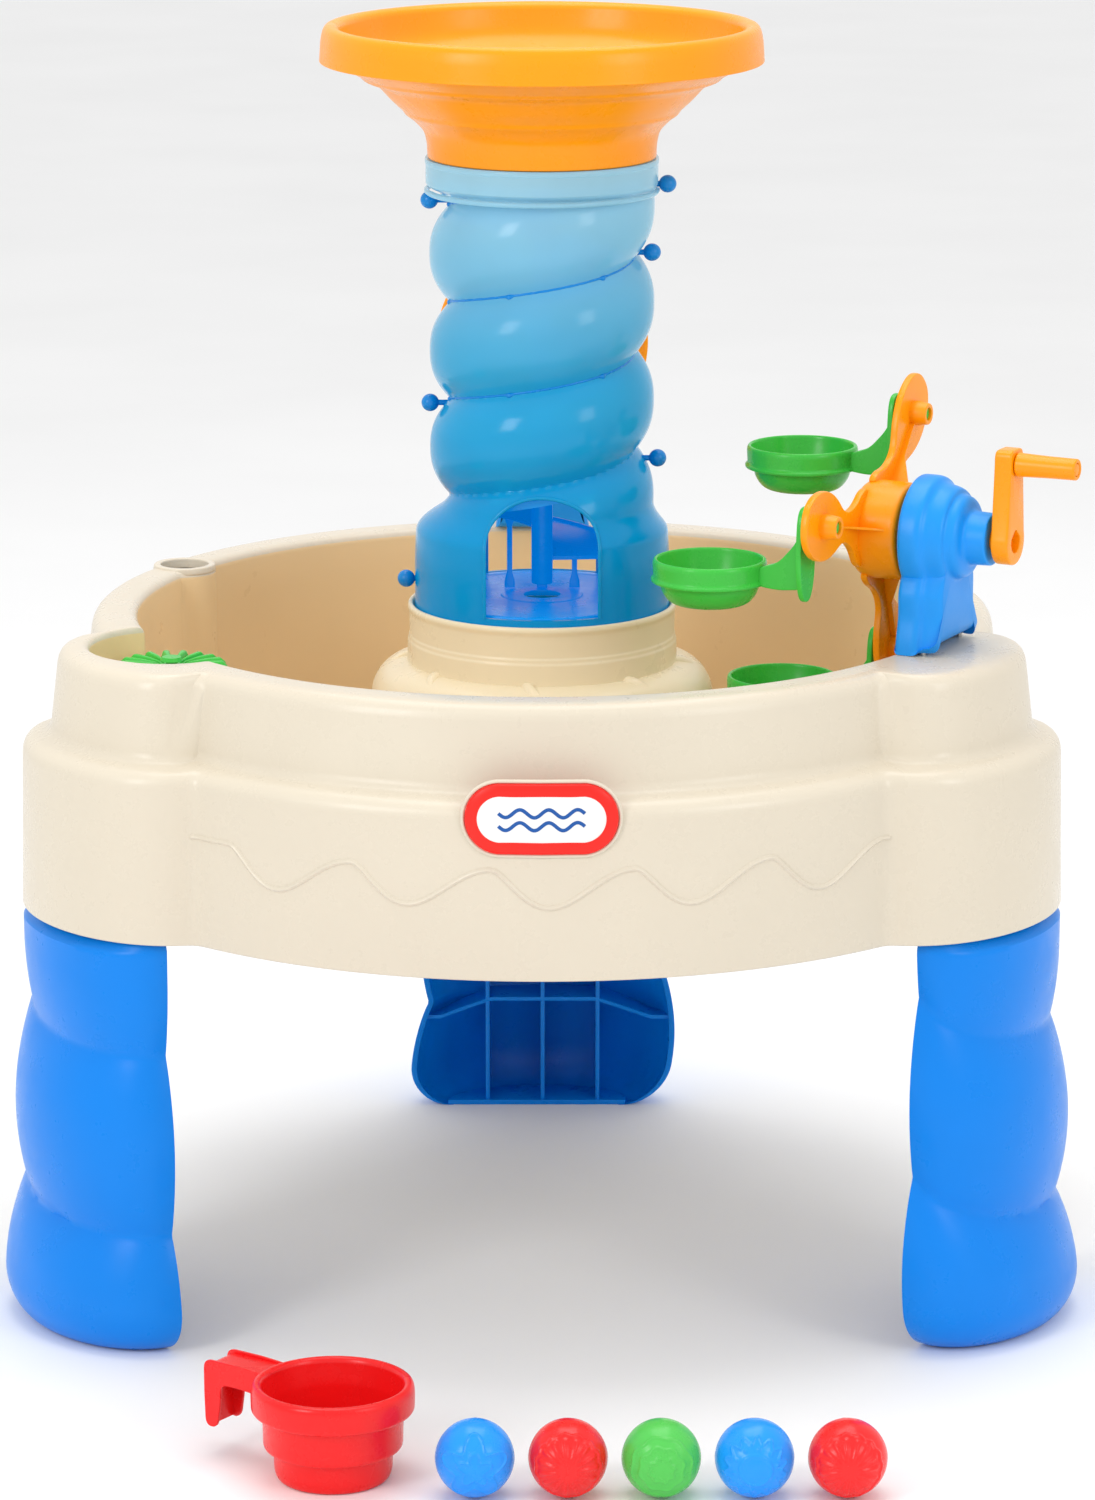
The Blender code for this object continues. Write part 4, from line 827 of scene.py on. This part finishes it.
def make_studs():
    """Ball-headed studs on short necks, one for each of the tower's."""
    turn = np.radians(np.linspace(-66.0, 90.0, 15))
    head = [(STUD_R * math.cos(a), STUD_R + STUD_R * math.sin(a)) for a in turn]
    profile = [(0.0, -0.0120), (0.0021, -0.0120), (0.0021, 0.0004)] + head
    profile[-1] = (0.0, 2 * STUD_R)
    for k in range(6):
        node = "snap_stud_%d" % (k + 1)
        low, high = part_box(node)
        side = -1.0 if high.x + low.x < 2 * CENTRE[0] else 1.0
        seat = (low.x if side < 0 else high.x) - CENTRE[0] - side * 2 * STUD_R
        spot = np.array([seat, 0.0, (low.z + high.z) / 2])
        stud = turned_to(lathe(profile, 28, 0.0004, 2), np.array(LIE_ALONG_X) * [[side], [1], [1]], spot)
        piece("ball_stud_%d" % (k + 1), [stud], seam_blue, "turret", [node])


def make_ramp():
    """The winding track z = start + pitch * turn with a raised outer lip, on a core and three bars."""
    turn = np.linspace(5.0, 5.0 + 360.0 * 3.6, 330)
    z = RAMP_ZERO_Z + TOWER_PITCH * turn / 360.0
    lip = RAMP_THICK + 0.0022
    corners = ((0.004, 0.0), (RAMP_OUT, 0.0), (RAMP_OUT, lip), (RAMP_OUT - 0.0018, lip),
               (RAMP_OUT - 0.0026, RAMP_THICK), (0.004, RAMP_THICK))
    track = np.stack([polar(r, turn, z + h) for r, h in corners], 1)
    core = lathe([(0, 0.5165), (0.0080, 0.5165), (0.0080, 0.8150), (0.0, 0.8150)], 32, 0.001)
    patches = [(track, False, True, True), core]
    behind = 0.026
    post = [(-0.0020, -0.0024), (0.0020, -0.0024), (0.0020, 0.0024), (-0.0020, 0.0024)]
    post = smooth_loop(post, 0.0006, 3)
    for x in (-0.0245, 0.0, 0.0245):
        top = RAMP_ZERO_Z + TOWER_PITCH * math.degrees(math.atan2(behind, x)) / 360.0
        heights = np.array([0.5084, 0.5084, 0.5130, 0.5175, 0.5200, top - 0.004, top, top + 0.0014])
        width = np.array([1.0, 2.0, 1.9, 1.3, 1.0, 1.0, 1.7, 1.7])[:, None, None]
        flat = post[None] * width + np.array([x, behind])
        tall = np.broadcast_to(heights[:, None, None], (*flat.shape[:2], 1))
        patches.append((np.concatenate([flat, tall], -1), False, True, True))
    piece("winding_track", patches, ramp_blue_painted_glow, "turret", ["spiral_ramp"])
    floor = lathe([(0.0140, 0.5080), (0.0300, 0.5080), (0.0310, 0.5074), (0.0800, 0.5074), (0.0812, 0.5080),
                   (0.0885, 0.5080), (0.0885, 0.4884), (0.0855, 0.4884), (0.0855, 0.5050), (0.0140, 0.5050)],
                  96, 0.0006, 2, True)
    piece("tower_floor_disc", [floor], ramp_blue_painted_glow, "turret", ["tower_floor"])


def make_funnel():
    """A wide dish with a deep rolled rim, stepped down to the tower's neck."""
    top = FUNNEL_TOP_Z
    profile = [
        (0.1500, top - 0.0008), (0.1600, top), (0.1628, top - 0.010), (0.1638, top - 0.0255),
        (0.1640, top - 0.0272), (0.1600, top - 0.0272), (0.1585, top - 0.0200), (0.1480, 0.9068),
        (0.1345, 0.8990), (0.1325, 0.8965), (0.1215, 0.8925), (0.1115, 0.8815), (0.1030, 0.8738),
        (0.1012, 0.8708), (0.0950, 0.8665), (0.0872, 0.8585), (0.0850, 0.8490), (0.0846, 0.8385),
        (0.0805, 0.8383), (0.0800, 0.8260), (0.0770, 0.8260), (0.0795, 0.8490), (0.0830, 0.8600),
        (0.0940, 0.8720), (0.1085, 0.8840), (0.1180, 0.8960), (0.1310, 0.9025), (0.1440, 0.9105),
        (0.1480, 0.9250)]
    reach = [0.005, 0.006, 0.004, 0.0008, 0.0008, 0.002, 0.004, 0.006, 0.0015, 0.0015] + [0.004] * 2
    reach += [0.0015, 0.0015] + [0.004] * 3 + [0.0006] * 4 + [0.006] * 6 + [0.008] * 2
    patch = lathe(profile, 160, reach, 4, True)
    piece("funnel_dish", [patch], orange, "turret", ["funnel"])


# ------------------------------------------------------------------ crank wheel

def make_spider():
    """The hub with three spoon-shaped arms, each with a bored boss and a gusset."""
    hub = lathe([(AXLE_R + GAP, -0.0090), (0.0300, -0.0090), (0.0348, -0.0060), (0.0360, 0.0020),
                 (0.0356, 0.0270), (0.0330, 0.0290), (AXLE_R + GAP, 0.0290)], 96, 0.003, 4, True)
    right = [(0.0300, 0.0200), (0.0270, 0.0320), (0.0160, 0.0420), (0.0108, 0.0540), (0.0118, 0.0640),
             (0.0200, 0.0760), (0.0250, 0.0900), (0.0255, 0.1040), (0.0200, 0.1200), (0.0090, 0.1290)]
    leaf = smooth_loop(mirrored(right), 1.0, 5)
    arm = turned_to(plate(leaf, -0.0040, 0.0012, 0.0016), FACE_ALONG_X)
    boss = lathe([(PIN_R + GAP, -0.0095), (0.0086, -0.0095), (0.0092, -0.0040), (0.0092, 0.0050),
                  (0.0078, 0.0135), (PIN_R + GAP, 0.0135)], 40, 0.0008, 3, True)
    boss = turned_to(boss, LIE_ALONG_X, (0.0, 0.0, ARM_R))
    web = np.array([(0.0, 0.034), (0.0240, 0.034), (0.0140, 0.0400), (0.0050, 0.0620), (0.0045, 0.0900),
                    (0.0, 0.0900)])
    web = turned_to(plate(web, -0.0008, 0.0008, 0.0003, 1), STAND_UP)
    patches = [turned_to(hub, LIE_ALONG_X)]
    for k in range(3):
        lean = lean_about_x(ARM_PHASE - 120.0 * k)
        patches += [turned_to(part, lean) for part in (arm, boss, web)]
    piece("wheel_arms", patches, orange, "crank_wheel", ["wheel_spider"], WHEEL_HOME)


def make_crank():
    """The crank's arm, a rounded bar with a bored end, and its turning grip."""
    turn = np.radians(np.linspace(160.0, 380.0, 34))
    low_end = np.stack([0.0172 * np.cos(turn), 0.0172 * np.sin(turn)], -1)
    side, shoulder = 0.0113, CRANK_ARM + 0.0110
    top = smooth_loop([(side, CRANK_ARM - 0.004), (side, shoulder), (-side, shoulder),
                       (-side, CRANK_ARM - 0.004)], 0.0055, 5)[5:-5]
    bar = np.concatenate([low_end, top])
    arm = turned_to(washer(bar, AXLE_R + GAP, CRANK_AT - 0.0065, CRANK_AT + 0.0065, 0.0016), FACE_ALONG_X)
    spindle = lathe([(0, CRANK_AT - 0.004), (0.0045, CRANK_AT - 0.004), (0.0045, CRANK_AT + 0.0525),
                     (0, CRANK_AT + 0.0525)], 32, 0.0006)
    grip = lathe([(0.0049, CRANK_AT + 0.0070), (0.0090, CRANK_AT + 0.0070), (0.0086, CRANK_AT + 0.0110),
                  (0.0080, CRANK_AT + 0.0300), (0.0078, CRANK_AT + 0.0530), (0.0049, CRANK_AT + 0.0530)],
                 48, 0.0016, 4, True)
    spindle, grip = (turned_to(part, LIE_ALONG_X, (0, 0, CRANK_ARM)) for part in (spindle, grip))
    piece("crank_bar", [arm, spindle], orange, "crank_wheel", ["crank_arm"], WHEEL_HOME)
    piece("crank_handle", [grip], orange, "grip", ["crank_grip"], WHEEL_HOME)


def stand_outline(radius, foot, widths):
    """A tombstone outline about the axle: a round head of the given radius on a column whose
    half-widths are given by height down to the foot."""
    turn = np.radians(np.linspace(90.0, -38.0, 30))
    head = np.stack([radius * np.cos(turn), radius * np.sin(turn)], -1)
    z = np.linspace(head[-1, 1] - 0.002, foot, 24)
    knots = [(head[-1, 1], head[-1, 0])] + [(foot + h, w) for h, w in widths]
    knots.sort()
    side = np.interp(z, [k[0] for k in knots], [k[1] for k in knots])
    kernel = np.hanning(9)
    side = np.convolve(np.pad(side, 4, mode="edge"), kernel / kernel.sum(), mode="valid")
    column = np.stack([side, z], -1)
    bottom = np.stack([np.linspace(side[-1], 0.0, 8)[1:], np.full(7, foot)], -1)
    right = np.concatenate([head, column, bottom])
    left = right[1:-1][::-1] * np.array([-1.0, 1.0])
    return np.concatenate([right, left])


def make_stand(name, node, head, foot, widths, layers, steps, bore, home, body="table"):
    """A bearing stand: its tombstone outline, pulled in by layers, then stepped round bearings."""
    shape = stand_outline(head, foot, widths)
    bearing = shape / np.linalg.norm(shape, axis=-1, keepdims=True)
    rings, reach = [], []

    def level(flat, x, soft):
        rings.append(np.column_stack([np.full(len(flat), x), flat]))
        reach.append(soft)

    level(bearing * bore, layers[0][0], 0.0006)
    for x, inset, soft in layers:
        flat = pulled_in(shape, inset)
        flat[:, 1] = np.maximum(flat[:, 1], foot)
        level(flat, x, soft)
    for x, radius, soft in steps:
        level(bearing * radius, x, soft)
    level(bearing * bore, steps[-1][0], 0.0006)
    patch = (rounded(rings, reach, 4, True), True, True, False)
    piece(name, [patch], bracket_blue, body, [node], home)


def make_brackets():
    drop = RIM_Z + GAP - WHEEL_Z
    make_stand("axle_stand", "wheel_bracket", 0.0430, drop,
               [(0.0, 0.0432), (0.010, 0.0425), (0.026, 0.0385), (0.045, 0.0392)],
               [(0.0335, 0.0030, 0.001), (0.0350, 0.0, 0.0025), (0.0500, 0.0, 0.006), (0.0530, 0.0050, 0.004),
                (0.0655, 0.0080, 0.007)],
               [(0.0660, 0.0310, 0.003), (0.0740, 0.0290, 0.005), (0.0760, 0.0196, 0.003),
                (0.0925, 0.0190, 0.0015)],
               AXLE_R + 0.0004, WHEEL_HOME)
    drop = RIM_Z + GAP - REAR_Z
    make_stand("rear_stand", "rear_bracket", 0.0260, drop,
               [(0.0, 0.0380), (0.010, 0.0370), (0.030, 0.0250), (0.090, 0.0215)],
               [(0.0195, 0.0040, 0.001), (0.0215, 0.0, 0.0025), (0.0500, 0.0, 0.006),
                (0.0560, 0.0060, 0.004)],
               [(0.0565, 0.0170, 0.002), (0.0600, 0.0160, 0.0015)], 0.0063, REAR_HOME)


def make_cup(k):
    """A round cup with a deep rolled band and a flange, on a gusset under a leaf-shaped plate that
    hangs from its pin."""
    lip, floor = -CUP_DROP, -CUP_DROP - CUP_DEPTH
    cup = lathe([
        (0, floor + 0.0008), (0.0235, floor + 0.0004), (0.0300, floor + 0.0030), (0.0352, lip - 0.0235),
        (0.0362, lip - 0.0170), (0.0424, lip - 0.0165), (0.0426, lip - 0.0145), (0.0408, lip - 0.0130),
        (0.0414, lip - 0.0030), (0.0405, lip), (0.0382, lip), (0.0374, lip - 0.0050), (0.0352, lip - 0.0145),
        (0.0320, lip - 0.0250), (0.0240, floor + 0.0034), (0, floor + 0.0030)], 96,
        [0, 0.003, 0.004, 0.004, 0.0012, 0.0006, 0.0006, 0.0012,
         0.002, 0.0015, 0.0015, 0.004, 0.004, 0.005, 0.004, 0])
    cup = moved(cup, (-CUP_OUT, 0.0, 0.0))
    right = [(0.0060, 0.0135), (0.0112, 0.0060), (0.0128, -0.0100), (0.0135, -0.0280), (0.0110, -0.0450),
             (0.0050, -0.0560)]
    leaf = smooth_loop(mirrored(right), 1.0, 5)
    leaf = turned_to(plate(leaf, -0.0148, -0.0108, 0.0012), FACE_ALONG_X)
    pin = lathe([(0, -0.0120), (PIN_R, -0.0120), (PIN_R, 0.0115), (0, 0.0115)], 28, 0.0008)
    pin = turned_to(pin, LIE_ALONG_X)
    gusset = smooth_loop([(-0.0130, -0.0010), (-0.0200, -0.0150), (-0.0330, -0.0290), (-0.0490, -0.0340),
                          (-0.0510, -0.0470), (-0.0330, -0.0490), (-0.0130, -0.0470)], 0.006, 4)
    gusset = turned_to(plate(gusset, -0.0042, 0.0042, 0.0014), STAND_UP)
    turn = math.radians(ARM_PHASE - 120.0 * k)
    spot = (0.0, ARM_R * math.sin(turn), ARM_R * math.cos(turn))
    patches = [moved(part, spot) for part in (cup, leaf, pin, gusset)]
    name = "cup_%d" % (k + 1)
    piece("tipping_" + name, patches, green, "tipping_" + name, [name], WHEEL_HOME)


def make_rear_wheel():
    """A hub and thin disc with eight blades that lean as they go out."""
    hub = lathe([(0.0063, -0.0130), (0.0240, -0.0130), (0.0280, -0.0100), (0.0280, 0.0100), (0.0240, 0.0130),
                 (0.0063, 0.0130)], 72, 0.002, 3, True)
    disc = lathe([(0.0250, -0.0020), (0.0800, -0.0016), (0.0815, -0.0030), (0.0838, -0.0024),
                  (0.0838, 0.0024), (0.0815, 0.0030), (0.0800, 0.0016), (0.0250, 0.0020)],
                 120, 0.0008, 3, True)
    patches = [turned_to(hub, LIE_ALONG_X), turned_to(disc, LIE_ALONG_X)]
    reach = np.linspace(0.022, 0.077, 20)
    for k in range(REAR_BLADES):
        turn = 360.0 / REAR_BLADES * k + 10.0 * ((reach - 0.022) / 0.055) ** 2
        across = np.interp(reach, (0.022, 0.050, 0.077), (0.0118, 0.0118, 0.0085))
        rib = []
        for x, w in ((-1.0, 0.8), (1.0, 0.8), (1.0, -0.8), (-1.0, -0.8)):
            bearing = np.radians(turn) + w * 0.0014 / reach
            rib.append(np.stack([x * across, reach * np.sin(bearing), reach * np.cos(bearing)], -1))
        patches.append((np.stack(rib, 1), False, True, True))
    piece("rear_paddles", patches, orange, "rear_paddle", ["rear_wheel"], REAR_HOME)


# ------------------------------------------------------------------ pocket spinner, scoop and balls

def make_spinner():
    """A disc whose ribs rise and fall with cos(n * bearing) between its hub and its rolled edge."""
    low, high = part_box("pocket_spinner")
    size = 0.5 * (high.x - low.x)
    tall = high.z - low.z
    turn = np.linspace(0.0, 360.0, 288, endpoint=False)
    wave = 0.5 + 0.5 * np.tanh(2.4 * np.cos(np.radians(turn * 18.0)))
    rings = []
    for part, height, rise in ((0.10, 0.72, 0.0), (0.24, 0.72, 0.0), (0.30, 0.40, 0.45), (0.60, 0.42, 0.55),
                               (0.88, 0.42, 0.58), (0.97, 0.30, 0.40), (1.0, 0.12, 0.10), (0.995, 0.0, 0.0),
                               (0.10, 0.0, 0.0)):
        rings.append(polar(size * part * (1.0 - 0.025 * (1 - wave) * (part > 0.9)), turn,
                           low.z + tall * (height + rise * wave)))
    patch = (rounded(rings, 0.0012, 3, True), True, True, False)
    shift = np.array([(low.x + high.x) / 2, (low.y + high.y) / 2, 0.0]) - CENTRE
    piece("ribbed_spinner", [moved(patch, shift)], green, "spinner", ["pocket_spinner"])


def make_scoop():
    """A cup in three steps under a rolled rim, with a hooked handle of channel section."""
    top = SCOOP_H
    cup = lathe([
        (0, 0.0012), (0.0330, 0.0008), (0.0352, 0.0), (0.0385, 0.0008), (0.0405, 0.0060), (0.0410, 0.0210),
        (0.0470, 0.0228), (0.0480, 0.0250), (0.0484, 0.0465), (0.0545, 0.0482), (0.0560, 0.0500),
        (0.0563, 0.0620),
        (0.0550, top), (0.0490, top), (0.0478, 0.0600), (0.0456, 0.0490), (0.0450, 0.0260), (0.0386, 0.0240),
        (0.0380, 0.0100), (0.0350, 0.0042), (0, 0.0040)], 128,
        [0, 0.001, 0.001, 0.003, 0.003, 0.0012, 0.001, 0.001, 0.0012, 0.001, 0.0012, 0.004, 0.0035,
         0.0035, 0.006, 0.002, 0.002, 0.002, 0.003, 0.003, 0])
    hook = smooth_loop([(-0.0480, 0.0668), (-0.0700, top + 0.0002), (-0.1010, top + 0.0002),
                        (-0.1010, 0.0450), (-0.1000, 0.0200), (-0.0900, 0.0195), (-0.0868, 0.0400),
                        (-0.0868, 0.0520),
                        (-0.0700, 0.0520), (-0.0480, 0.0500)], 0.0065, 6)
    sides = [turned_to(plate(hook, low, low + HANDLE_WALL, 0.0007), STAND_UP)
             for low in (-HANDLE_HALF, HANDLE_HALF - HANDLE_WALL)]
    corners = [(-0.0480, 0.0660), (-0.0700, top - 0.0018), (-0.0990, top - 0.0018), (-0.0990, 0.0450),
               (-0.0982, 0.0206)]
    line = np.array([(x, 0.0, z) for x, z in corners])[:, None]
    line = rounded(line, (0.0, 0.004, 0.0065, 0.004, 0.0), 8)[:, 0]
    reach = HANDLE_HALF - 0.0010
    section = [(-reach, -0.0026), (reach, -0.0026), (reach, 0.0), (-reach, 0.0)]
    out = np.cross(np.array([0.0, 1.0, 0.0]), np.gradient(line, axis=0))
    web = sweep(line, section, out)
    patches = [turned_to(part, heading(SCOOP_YAW), (*SCOOP_AT, 0.0)) for part in (cup, web, *sides)]
    piece("scoop_and_handle", patches, red, "scoop", ["scoop_cup"])


def motif(kind, across, up):
    """Height of a ball's raised drawing by the angle from its middle and the bearing round it: each
    line is exp(-((angle - edge) / width)^2) for an edge that is a star, a shell's fan, rings or a sun."""
    angle = np.arctan2(np.hypot(across, up), np.sqrt(np.clip(1.0 - across ** 2 - up ** 2, 0, 1)))
    bearing = np.arctan2(up, across)
    line = 0.0
    if kind == "star":
        for size in (0.92, 0.42):
            edge = size * (0.80 + 0.26 * np.cos(5.0 * (bearing - 0.5 * np.pi)))
            line = line + np.exp(-((angle - edge) / 0.045) ** 2)
    elif kind == "shell":
        fan = np.clip(np.cos(15.0 * bearing), 0, 1) ** 0.7
        line = fan * np.clip((angle - 0.22) / 0.1, 0, 1) * np.clip((0.88 - angle) / 0.08, 0, 1)
        line = line + np.exp(-((angle - 0.95 - 0.03 * np.cos(15.0 * bearing)) / 0.045) ** 2)
    elif kind == "rings":
        for size in (0.30, 0.58, 0.86):
            line = line + np.exp(-((angle - size - 0.035 * np.cos(8.0 * bearing)) / 0.04) ** 2)
    else:
        edge = 0.80 + 0.10 * np.cos(14.0 * bearing)
        line = np.exp(-((angle - edge) / 0.045) ** 2) + np.exp(-((angle - 0.40) / 0.05) ** 2)
        dots = np.clip(np.cos(10.0 * bearing), 0, 1) ** 4 * np.exp(-((angle - 0.58) / 0.05) ** 2)
        line = line + dots
    return np.clip(line, 0.0, 1.0)


def make_ball(k, kind, finish):
    """A ball with a raised drawing on its front and back: radius + height * motif."""
    node = "ball_%d" % (k + 1)
    low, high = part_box(node)
    spot = np.array([(low.x + high.x) / 2, (low.y + high.y) / 2, BALL_R]) - CENTRE
    tilt = np.linspace(-90.0, 90.0, 120)[:, None]
    turn = np.linspace(0.0, 360.0, 220, endpoint=False)[None, :]
    unit = np.stack(np.broadcast_arrays(np.cos(np.radians(tilt)) * np.cos(np.radians(turn)),
                                        np.cos(np.radians(tilt)) * np.sin(np.radians(turn)),
                                        np.sin(np.radians(tilt))), -1)
    spin = [20.0, -35.0, 75.0, -10.0, 50.0][k]
    c, s = math.cos(math.radians(spin)), math.sin(math.radians(spin))
    across, up = c * unit[..., 0] - s * unit[..., 2], s * unit[..., 0] + c * unit[..., 2]
    if k in (0, 1, 4):
        across, up = unit[..., 0], unit[..., 2]
    raised = BALL_RELIEF * motif(kind, across, up) * np.clip(np.abs(unit[..., 1]) * 4.0, 0, 1)
    seam = 0.00015 * np.exp(-(unit[..., 1] / 0.02) ** 2)
    grid = unit * (BALL_R - BALL_RELIEF + 0.0001 + raised + seam)[..., None]
    patch = (grid + spot, False, True, False)
    piece("play_" + node, [patch], finish, "play_" + node, [node], sharp=60.0)


# ------------------------------------------------------------------ putting it together

make_tub()
make_wave_line()
make_badge()
for leg in LOBE_ANGLES:
    make_leg(leg)
make_base()
make_tower_half("tower_front_shell", -180.0, "tower_front")
make_tower_half("tower_rear_shell", 0.0, "tower_rear")
make_seam_line()
make_studs()
make_ramp()
make_funnel()
make_spider()
make_crank()
make_brackets()
for number in range(3):
    make_cup(number)
make_rear_wheel()
make_spinner()
make_scoop()
for number, (kind, finish, slot) in enumerate((
        ("star", ball_blue, "ball_blue"), ("shell", ball_red, "ball_red"),
        ("rings", ball_green, "ball_green"),
        ("sun", ball_blue, "ball_blue"), ("shell", ball_red, "ball_red"))):
    make_ball(number, kind, finish)

KEPT_FINISHES = {
    "drain_plug": white, "pivot_bolt": steel, "pivot_cap": steel, "wheel_axle": orange, "rear_axle": white,
    "wheel_bracket_screw_1": steel, "wheel_bracket_screw_2": steel, "rear_bracket_screw_1": steel,
    "rear_bracket_screw_2": steel, "spinner_pin": green,
}
for node, finish in KEPT_FINISHES.items():
    mesh = frame["nodes"][node].data
    mesh.materials.clear()
    mesh.materials.append(finish)


# ------------------------------------------------------------------ floor, light and camera

def make_floor():
    finish = Mix("pale_floor")
    finish.colour(finish.ramp(finish.noise(2.0, 3.0), [(0.3, (0.92, 0.92, 0.92)), (0.7, (0.95, 0.95, 0.95))]))
    finish.shader.inputs["Roughness"].default_value = 0.8
    mesh = bpy.data.meshes.new("floor")
    mesh.from_pydata([(-30, -15, 0), (30, -15, 0), (30, 60, 0), (-30, 60, 0)], [], [(0, 1, 2, 3)])
    floor = bpy.data.objects.new("floor", mesh)
    bpy.context.scene.collection.objects.link(floor)
    mesh.materials.append(finish.material)


def make_light(name, spot, aim, power, size):
    light = bpy.data.lights.new(name, "AREA")
    light.energy = power
    light.shape = "RECTANGLE"
    light.size, light.size_y = size
    lamp = bpy.data.objects.new(name, light)
    way = np.array(aim, float) - np.array(spot, float)
    lamp.location = spot
    lamp.rotation_euler = (math.atan2(math.hypot(way[0], way[1]), -way[2]), 0.0, math.atan2(-way[0], way[1]))
    bpy.context.scene.collection.objects.link(lamp)


def make_stage():
    make_floor()
    world = bpy.data.worlds.new("studio")
    bpy.context.scene.world = world
    world.use_nodes = True
    world.node_tree.nodes["Background"].inputs["Color"].default_value = (1.0, 1.0, 1.0, 1.0)
    world.node_tree.nodes["Background"].inputs["Strength"].default_value = 0.90
    make_light("overhead", (0.0, 0.3, 2.6), (0.0, 0.0, 0.4), 27.0, (1.8, 1.8))
    make_light("front_left", (-2.2, -2.6, 2.0), (0.0, 0.0, 0.5), 31.0, (1.0, 1.4))
    make_light("front_right", (2.4, -2.4, 1.8), (0.0, 0.0, 0.5), 18.0, (1.0, 1.4))
    view = bpy.context.scene.view_settings
    view.view_transform = "Standard"
    view.look = "None"
    camera = bpy.data.cameras.new("camera")
    camera.lens = 136.57
    camera.sensor_width = 36.0
    camera.clip_start, camera.clip_end = 0.1, 200.0
    eye = bpy.data.objects.new("camera", camera)
    eye.location = (0.0041, -4.1051, 1.3972)
    eye.rotation_euler = (math.radians(90.0 - 13.554), 0.0, 0.0)
    bpy.context.scene.collection.objects.link(eye)
    bpy.context.scene.camera = eye


make_stage()
